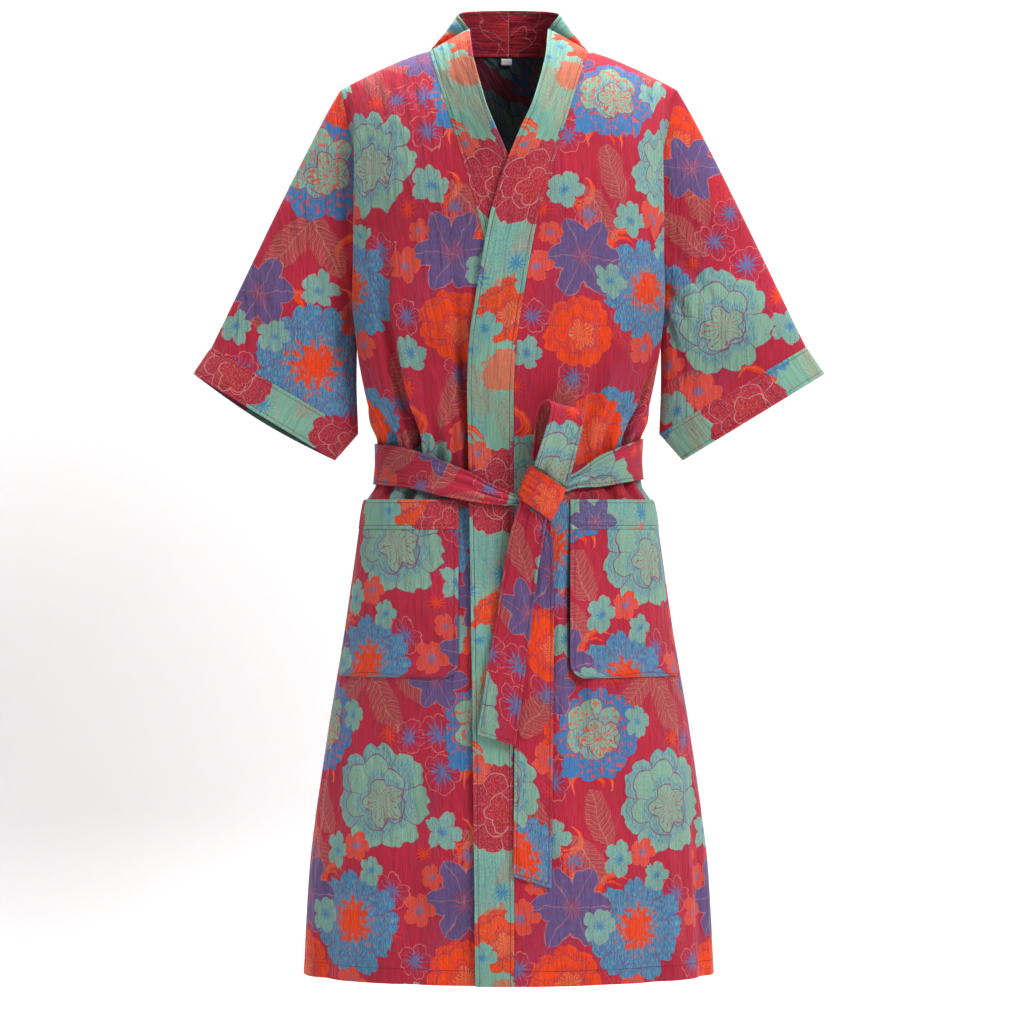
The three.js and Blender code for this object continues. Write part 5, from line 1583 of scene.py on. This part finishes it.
class RobeColours(bpy.types.PropertyGroup):
    """Colours of the print that a user may change"""

    ground: colour_property("Ground", "Crimson behind the flowers", 188, 54, 78)
    leaf: colour_property("Green", "Green of peonies, flowers and the bands", 140, 182, 164)
    blue: colour_property("Blue", "Blue of daisies and shading", 66, 136, 186)
    orange: colour_property("Orange", "Orange of flowers and tendrils", 232, 86, 34)
    purple: colour_property("Purple", "Purple of lilies and scribbles", 118, 92, 138)
    rose: colour_property("Rose", "Rose red of stamens", 196, 58, 78)
    outline: colour_property("Pale outline", "Outline of blossoms", 206, 150, 146)
    vein: colour_property("Vein", "Lines of the leaves", 188, 134, 114)
    violet_line: colour_property("Violet outline", "Petal lines on green", 140, 84, 124)
    thread: colour_property("Thread", "Sewing thread", 120, 44, 62)
    # Dark blue of the wrong side: partly the reverse's own tint, partly painted shade of the robe's
    # inside.
    reverse: colour_property("Reverse", "Tint of the cloth's wrong side", 30, 52, 68)
    label: colour_property("Label", "Tape of the neck label", 236, 234, 230)
    paper: colour_property("Backdrop", "Studio floor and wall", 250, 250, 250)


def cloth_materials(context, kind):
    """Outer and inner material of a piece, made once."""
    colours = context.scene.robe_colours
    ground = {"Printed gauze": "ground", "Band gauze": "leaf"}[kind]
    made = []
    # The second, inner material is the wrong side, darkened with painted shade.
    for name, reverse in ((kind, False), (kind + " reverse", True)):
        material = bpy.data.materials.get(name)
        made.append(material or gauze(name, colours, ground, reverse))
    return made


def dress(piece, nodes):
    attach(piece, "root")
    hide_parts(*nodes)


class ROBE_OT_back(bpy.types.Operator):
    """Make the back panel"""

    bl_idname = "robe.back"
    bl_label = "Back"

    def execute(self, context):
        sizes = measures(context.scene.robe_sizes)
        sheet = sewn_panels(sizes)["back"]
        uv = sheet_uv(sheet, flip=(-1, 1), start=(430, 250), sewn=("bottom",), inset=HEM_STITCH)
        outer, inner = cloth_materials(context, "Printed gauze")
        piece = cloth_object("Back_Panel", sheet, sizes.cloth, outer, inner, uv)
        dress(piece, ["back"])
        return {"FINISHED"}


class ROBE_OT_fronts(bpy.types.Operator):
    """Make the two front panels"""

    bl_idname = "robe.fronts"
    bl_label = "Fronts"

    def execute(self, context):
        sizes = measures(context.scene.robe_sizes)
        panels = sewn_panels(sizes)
        outer, inner = cloth_materials(context, "Printed gauze")
        for name, side, peony in (("right", -1, (-155, -909)), ("left", 1, (190, -919))):
            sheet = panels[f"front_{name}"]
            base = np.abs(sheet.grid[:, :1, 0])
            uv = sheet_uv(
                sheet, (side, 1), at=peony, base=base, sewn=("bottom",), inset=HEM_STITCH)
            uv[..., 0] -= side * GRAIN_LEAN * uv[..., 1]
            piece = cloth_object(f"Front_{name.title()}", sheet, sizes.cloth, outer, inner, uv)
            dress(piece, [f"front_{name}"])
        return {"FINISHED"}


class ROBE_OT_sleeves(bpy.types.Operator):
    """Make the two sleeves"""

    bl_idname = "robe.sleeves"
    bl_label = "Sleeves"

    def execute(self, context):
        sizes = measures(context.scene.robe_sizes)
        panels = sewn_panels(sizes)
        outer, inner = cloth_materials(context, "Printed gauze")
        for name, layout in (("right", RIGHT_SLEEVE_PRINT), ("left", LEFT_SLEEVE_PRINT)):
            sheet = panels[f"sleeve_{name}"]
            uv = sheet_uv(sheet)
            uv[..., :2] = np.take(sheet.grid, range(uv.shape[1]), axis=1, mode="wrap")[..., ::2]
            piece = cloth_object(f"Sleeve_{name.title()}", sheet, sizes.cloth, outer, inner, uv,
                                 (SLEEVE_TILE, layout))
            dress(piece, [f"sleeve_{name}"])
        return {"FINISHED"}


class ROBE_OT_cuffs(bpy.types.Operator):
    """Make the two cuff bands"""

    bl_idname = "robe.cuffs"
    bl_label = "Cuffs"

    def execute(self, context):
        sizes = measures(context.scene.robe_sizes)
        panels = sewn_panels(sizes)
        outer, inner = cloth_materials(context, "Band gauze")
        for name, side, start in (("right", -1, (40, 10)), ("left", 1, (120, 30))):
            sheet = panels[f"cuff_{name}"]
            uv = sheet_uv(
                sheet, (-side, -1), start=start, sewn=("bottom", "top"), inset=CUFF_STITCH)
            piece = cloth_object(f"Cuff_{name.title()}", sheet, sizes.band, outer, inner, uv,
                                 (BAND_TILE, BAND_PRINT))
            dress(piece, [f"cuff_{name}"])
        return {"FINISHED"}


class ROBE_OT_neck_band(bpy.types.Operator):
    """Make the two halves of the neck band"""

    bl_idname = "robe.neck_band"
    bl_label = "Neck band"

    def execute(self, context):
        sizes = measures(context.scene.robe_sizes)
        panels = sewn_panels(sizes)
        outer, _ = cloth_materials(context, "Band gauze")
        facing, _ = cloth_materials(context, "Printed gauze")
        for name, side, start in (("right", -1, (30, 214)), ("left", 1, (24, 212))):
            sheet = panels[f"band_{name}"]
            uv = sheet_uv(
                sheet, (-side, 1), start=start, sewn=("left", "right"), inset=NECK_BAND_STITCH)
            piece = cloth_object(f"Neck_Band_{name.title()}", sheet, sizes.band, outer, facing, uv,
                                 (BAND_TILE, BAND_PRINT))
            dress(piece, [f"collar_{name}", f"collar_neck_{name}"])
        return {"FINISHED"}


class ROBE_OT_pockets(bpy.types.Operator):
    """Make the two patch pockets"""

    bl_idname = "robe.pockets"
    bl_label = "Pockets"

    def execute(self, context):
        sizes = measures(context.scene.robe_sizes)
        outer, inner = cloth_materials(context, "Printed gauze")
        rows = even_shares(POCKET_HEIGHT, sizes.step, 0.002)
        peonies = {"right": (-137, -600), "left": (166, -618)}
        for part in SIDES:
            name, side = part["name"], part["side"]
            sheet = pocket_sheet(side, part["pocket_x"], POCKET_BOTTOM_Z, POCKET_TOP_Z, rows,
                                 POCKET_CORNER, sizes)
            uv = sheet_uv(sheet, (side, 1), at=peonies[name], sewn=("left", "right", "bottom"))
            piece = cloth_object(f"Pocket_{name.title()}", sheet, sizes.cloth, outer, inner, uv)
            dress(piece, [f"pocket_{name}"])
        return {"FINISHED"}


class ROBE_OT_pocket_bands(bpy.types.Operator):
    """Make the band at the mouth of each pocket"""

    bl_idname = "robe.pocket_bands"
    bl_label = "Pocket bands"

    def execute(self, context):
        sizes = measures(context.scene.robe_sizes)
        outer, inner = cloth_materials(context, "Band gauze")
        rows = even_shares(POCKET_BAND_HEIGHT, sizes.band_step, 0.01)
        for part, start in zip(SIDES, ((76, 200), (90, 120))):
            name, side = part["name"], part["side"]
            sheet = pocket_sheet(side, part["pocket_x"], POCKET_TOP_Z + sizes.seam,
                                 POCKET_BAND_TOP_Z, rows, 0, sizes)
            uv = sheet_uv(sheet, (side, 1), start=start, sewn=("left", "right", "top", "bottom"),
                          inset=CUFF_STITCH)
            piece = cloth_object(f"Pocket_Band_{name.title()}", sheet, sizes.band, outer, inner,
                                 uv, (BAND_TILE, BAND_PRINT))
            dress(piece, [f"pocket_band_{name}"])
        return {"FINISHED"}


class ROBE_OT_belt(bpy.types.Operator):
    """Make the belt round the waist, its loop and its two hanging ends"""

    bl_idname = "robe.belt"
    bl_label = "Belt"

    def execute(self, context):
        sizes = measures(context.scene.robe_sizes)
        outer, _ = cloth_materials(context, "Printed gauze")
        front = tail_sheet(TAIL_FRONT, TAIL_FRONT_KNOT_Y, 51, sizes)
        behind = tail_sheet(TAIL_BACK, TAIL_BACK_KNOT_Y, 52, sizes)
        long_edges = ("left", "right")
        cut_edges = ("left", "right", "top")
        for name, node, sheet, size, held, flip, start, edges, rests in (
            ("Belt_Waist", "belt_waist", belt_sheet(sizes), (0.05, 0.82), "gathered",
             (1, 1), (-18, 755), long_edges, ["Front_Left", "Back_Panel"]),
            ("Belt_Loop", "belt_loop", loop_sheet(sizes), (0.049, 0.203), "folded",
             (1, -1), (20, 178), long_edges, ["Belt_Waist"]),
            ("Belt_Tail_Front", "belt_tail_front", front, (0.048, 0.29), "hung",
             (1, -1), (-40, 260), cut_edges, ["Belt_Waist"]),
            ("Belt_Tail_Back", "belt_tail_back", behind, (0.048, 0.45), "hung",
             (1, -1), (-60, -60), cut_edges, ["Belt_Waist"]),
        ):
            uv = sheet_uv(sheet, flip, start=start, sewn=edges, inset=BELT_STITCH)
            piece = cloth_object(name, sheet, sizes.belt, outer, outer, uv)
            dress(piece, [node])
        return {"FINISHED"}


class ROBE_OT_knot(bpy.types.Operator):
    """Make the knot of the belt"""

    bl_idname = "robe.knot"
    bl_label = "Knot"

    def execute(self, context):
        sizes = measures(context.scene.robe_sizes)
        outer, _ = cloth_materials(context, "Printed gauze")
        sheet = knot_sheet(sizes)
        uv = sheet_uv(sheet, start=(-82, 236))
        piece = solid_object("Belt_Knot", sheet, outer, uv)
        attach(piece, "root")
        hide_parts("belt_knot")
        return {"FINISHED"}


class ROBE_OT_label(bpy.types.Operator):
    """Make the label inside the back of the neck"""

    bl_idname = "robe.label"
    bl_label = "Neck label"

    def execute(self, context):
        sheet = label_sheet()
        uv = sheet_uv(sheet)
        material = label_tape("Label tape", context.scene.robe_colours.label)
        piece = cloth_object("Neck_Label", sheet, LABEL_THICKNESS, material, material, uv)
        dress(piece, ["neck_label"])
        return {"FINISHED"}


# Lights: place, the point that each looks at, width, and power in watts
LIGHTS = (
    ("Key_Light", (2.1, -2.6, 1.7), (0, 0, -0.5), 1.4, 76),
    ("Fill_Light", (-2.2, -2.8, 0.3), (0, 0, -0.6), 2.4, 10),
    ("Wall_Light", (0.0, 0.3, 2.4), (0, 0.9, -0.4), 2.4, 130),
)
FLOOR_Z = -1.3
WALL_Y = 0.9
SWEEP_BEND = 0.3
STAGE_HALF = 6.0
CAMERA_PLACE = (0.004, -4.8, -0.566)
CAMERA_LENS = 137
SENSOR_WIDTH = 36
SWEEP_LINES = 17
SKY_STRENGTH = 0.17
EXPOSURE = 0.1
GAMMA = 0.8


class ROBE_OT_stage(bpy.types.Operator):
    """Make the pale studio sweep, the soft lights and the camera"""

    bl_idname = "robe.stage"
    bl_label = "Stage"

    def execute(self, context):
        scene = context.scene
        profile = [(-STAGE_HALF, FLOOR_Z)]
        for turn in np.linspace(0, SIDE, SWEEP_LINES):
            y = WALL_Y - SWEEP_BEND * (1 - math.sin(turn))
            profile.append((y, FLOOR_Z + SWEEP_BEND * (1 - math.cos(turn))))
        profile.append((WALL_Y, STAGE_HALF))
        points = [(x, y, z) for y, z in profile for x in (-STAGE_HALF, STAGE_HALF)]
        faces = [(2 * i, 2 * i + 1, 2 * i + 3, 2 * i + 2) for i in range(len(profile) - 1)]
        mesh = bpy.data.meshes.new("Studio_Sweep")
        mesh.from_pydata(points, [], faces)
        mesh.polygons.foreach_set("use_smooth", [True] * len(faces))
        mesh.materials.append(studio_paper("Studio paper", scene.robe_colours.paper))
        sweep = bpy.data.objects.new("Studio_Sweep", mesh)
        scene.collection.objects.link(sweep)
        for name, place, aim, width, power in LIGHTS:
            light = bpy.data.lights.new(name, "AREA")
            light.size = width
            light.energy = power
            lamp = bpy.data.objects.new(name, light)
            lamp.location = place
            look = Vector(aim) - Vector(place)
            lamp.rotation_euler = look.to_track_quat("-Z", "Y").to_euler()
            scene.collection.objects.link(lamp)
        world = bpy.data.worlds.new("Studio_Light")
        world.use_nodes = True
        sky = world.node_tree.nodes["Background"]
        sky.inputs["Color"].default_value = (1, 1, 1, 1)
        sky.inputs["Strength"].default_value = SKY_STRENGTH
        scene.world = world
        scene.view_settings.view_transform = "Standard"
        scene.view_settings.exposure = EXPOSURE
        scene.view_settings.gamma = GAMMA
        view = bpy.data.cameras.new("Photo_View")
        view.lens = CAMERA_LENS
        view.sensor_width = SENSOR_WIDTH
        camera = bpy.data.objects.new("Photo_View", view)
        camera.location = CAMERA_PLACE
        camera.rotation_euler = (SIDE, 0, 0)
        scene.collection.objects.link(camera)
        scene.camera = camera
        return {"FINISHED"}


PIECE_OPERATORS = (
    ROBE_OT_back, ROBE_OT_fronts, ROBE_OT_sleeves, ROBE_OT_cuffs, ROBE_OT_neck_band,
    ROBE_OT_pockets, ROBE_OT_pocket_bands, ROBE_OT_belt, ROBE_OT_knot, ROBE_OT_label,
    ROBE_OT_stage,
)


class ROBE_PT_panel(bpy.types.Panel):
    """Sizes, colours and pieces of the robe"""

    bl_idname = "ROBE_PT_panel"
    bl_label = "Kimono robe"
    bl_space_type = "VIEW_3D"
    bl_region_type = "UI"
    bl_category = "Robe"

    def draw(self, context):
        for group in (context.scene.robe_sizes, context.scene.robe_colours):
            column = self.layout.column()
            for key in group.__annotations__:
                column.prop(group, key)
        for operator in PIECE_OPERATORS:
            self.layout.operator(operator.bl_idname)


CLASSES = (RobeSizes, RobeColours, *PIECE_OPERATORS, ROBE_PT_panel)


def register():
    for item in CLASSES:
        bpy.utils.register_class(item)
    bpy.types.Scene.robe_sizes = bpy.props.PointerProperty(type=RobeSizes)
    bpy.types.Scene.robe_colours = bpy.props.PointerProperty(type=RobeColours)


def unregister():
    del bpy.types.Scene.robe_colours
    del bpy.types.Scene.robe_sizes
    for item in reversed(CLASSES):
        bpy.utils.unregister_class(item)


def main():
    register()
    bpy.ops.robe.back()
    bpy.ops.robe.fronts()
    bpy.ops.robe.sleeves()
    bpy.ops.robe.cuffs()
    bpy.ops.robe.neck_band()
    bpy.ops.robe.pockets()
    bpy.ops.robe.pocket_bands()
    bpy.ops.robe.belt()
    bpy.ops.robe.knot()
    bpy.ops.robe.label()
    bpy.ops.robe.stage()


if __name__ == "__main__":
    main()
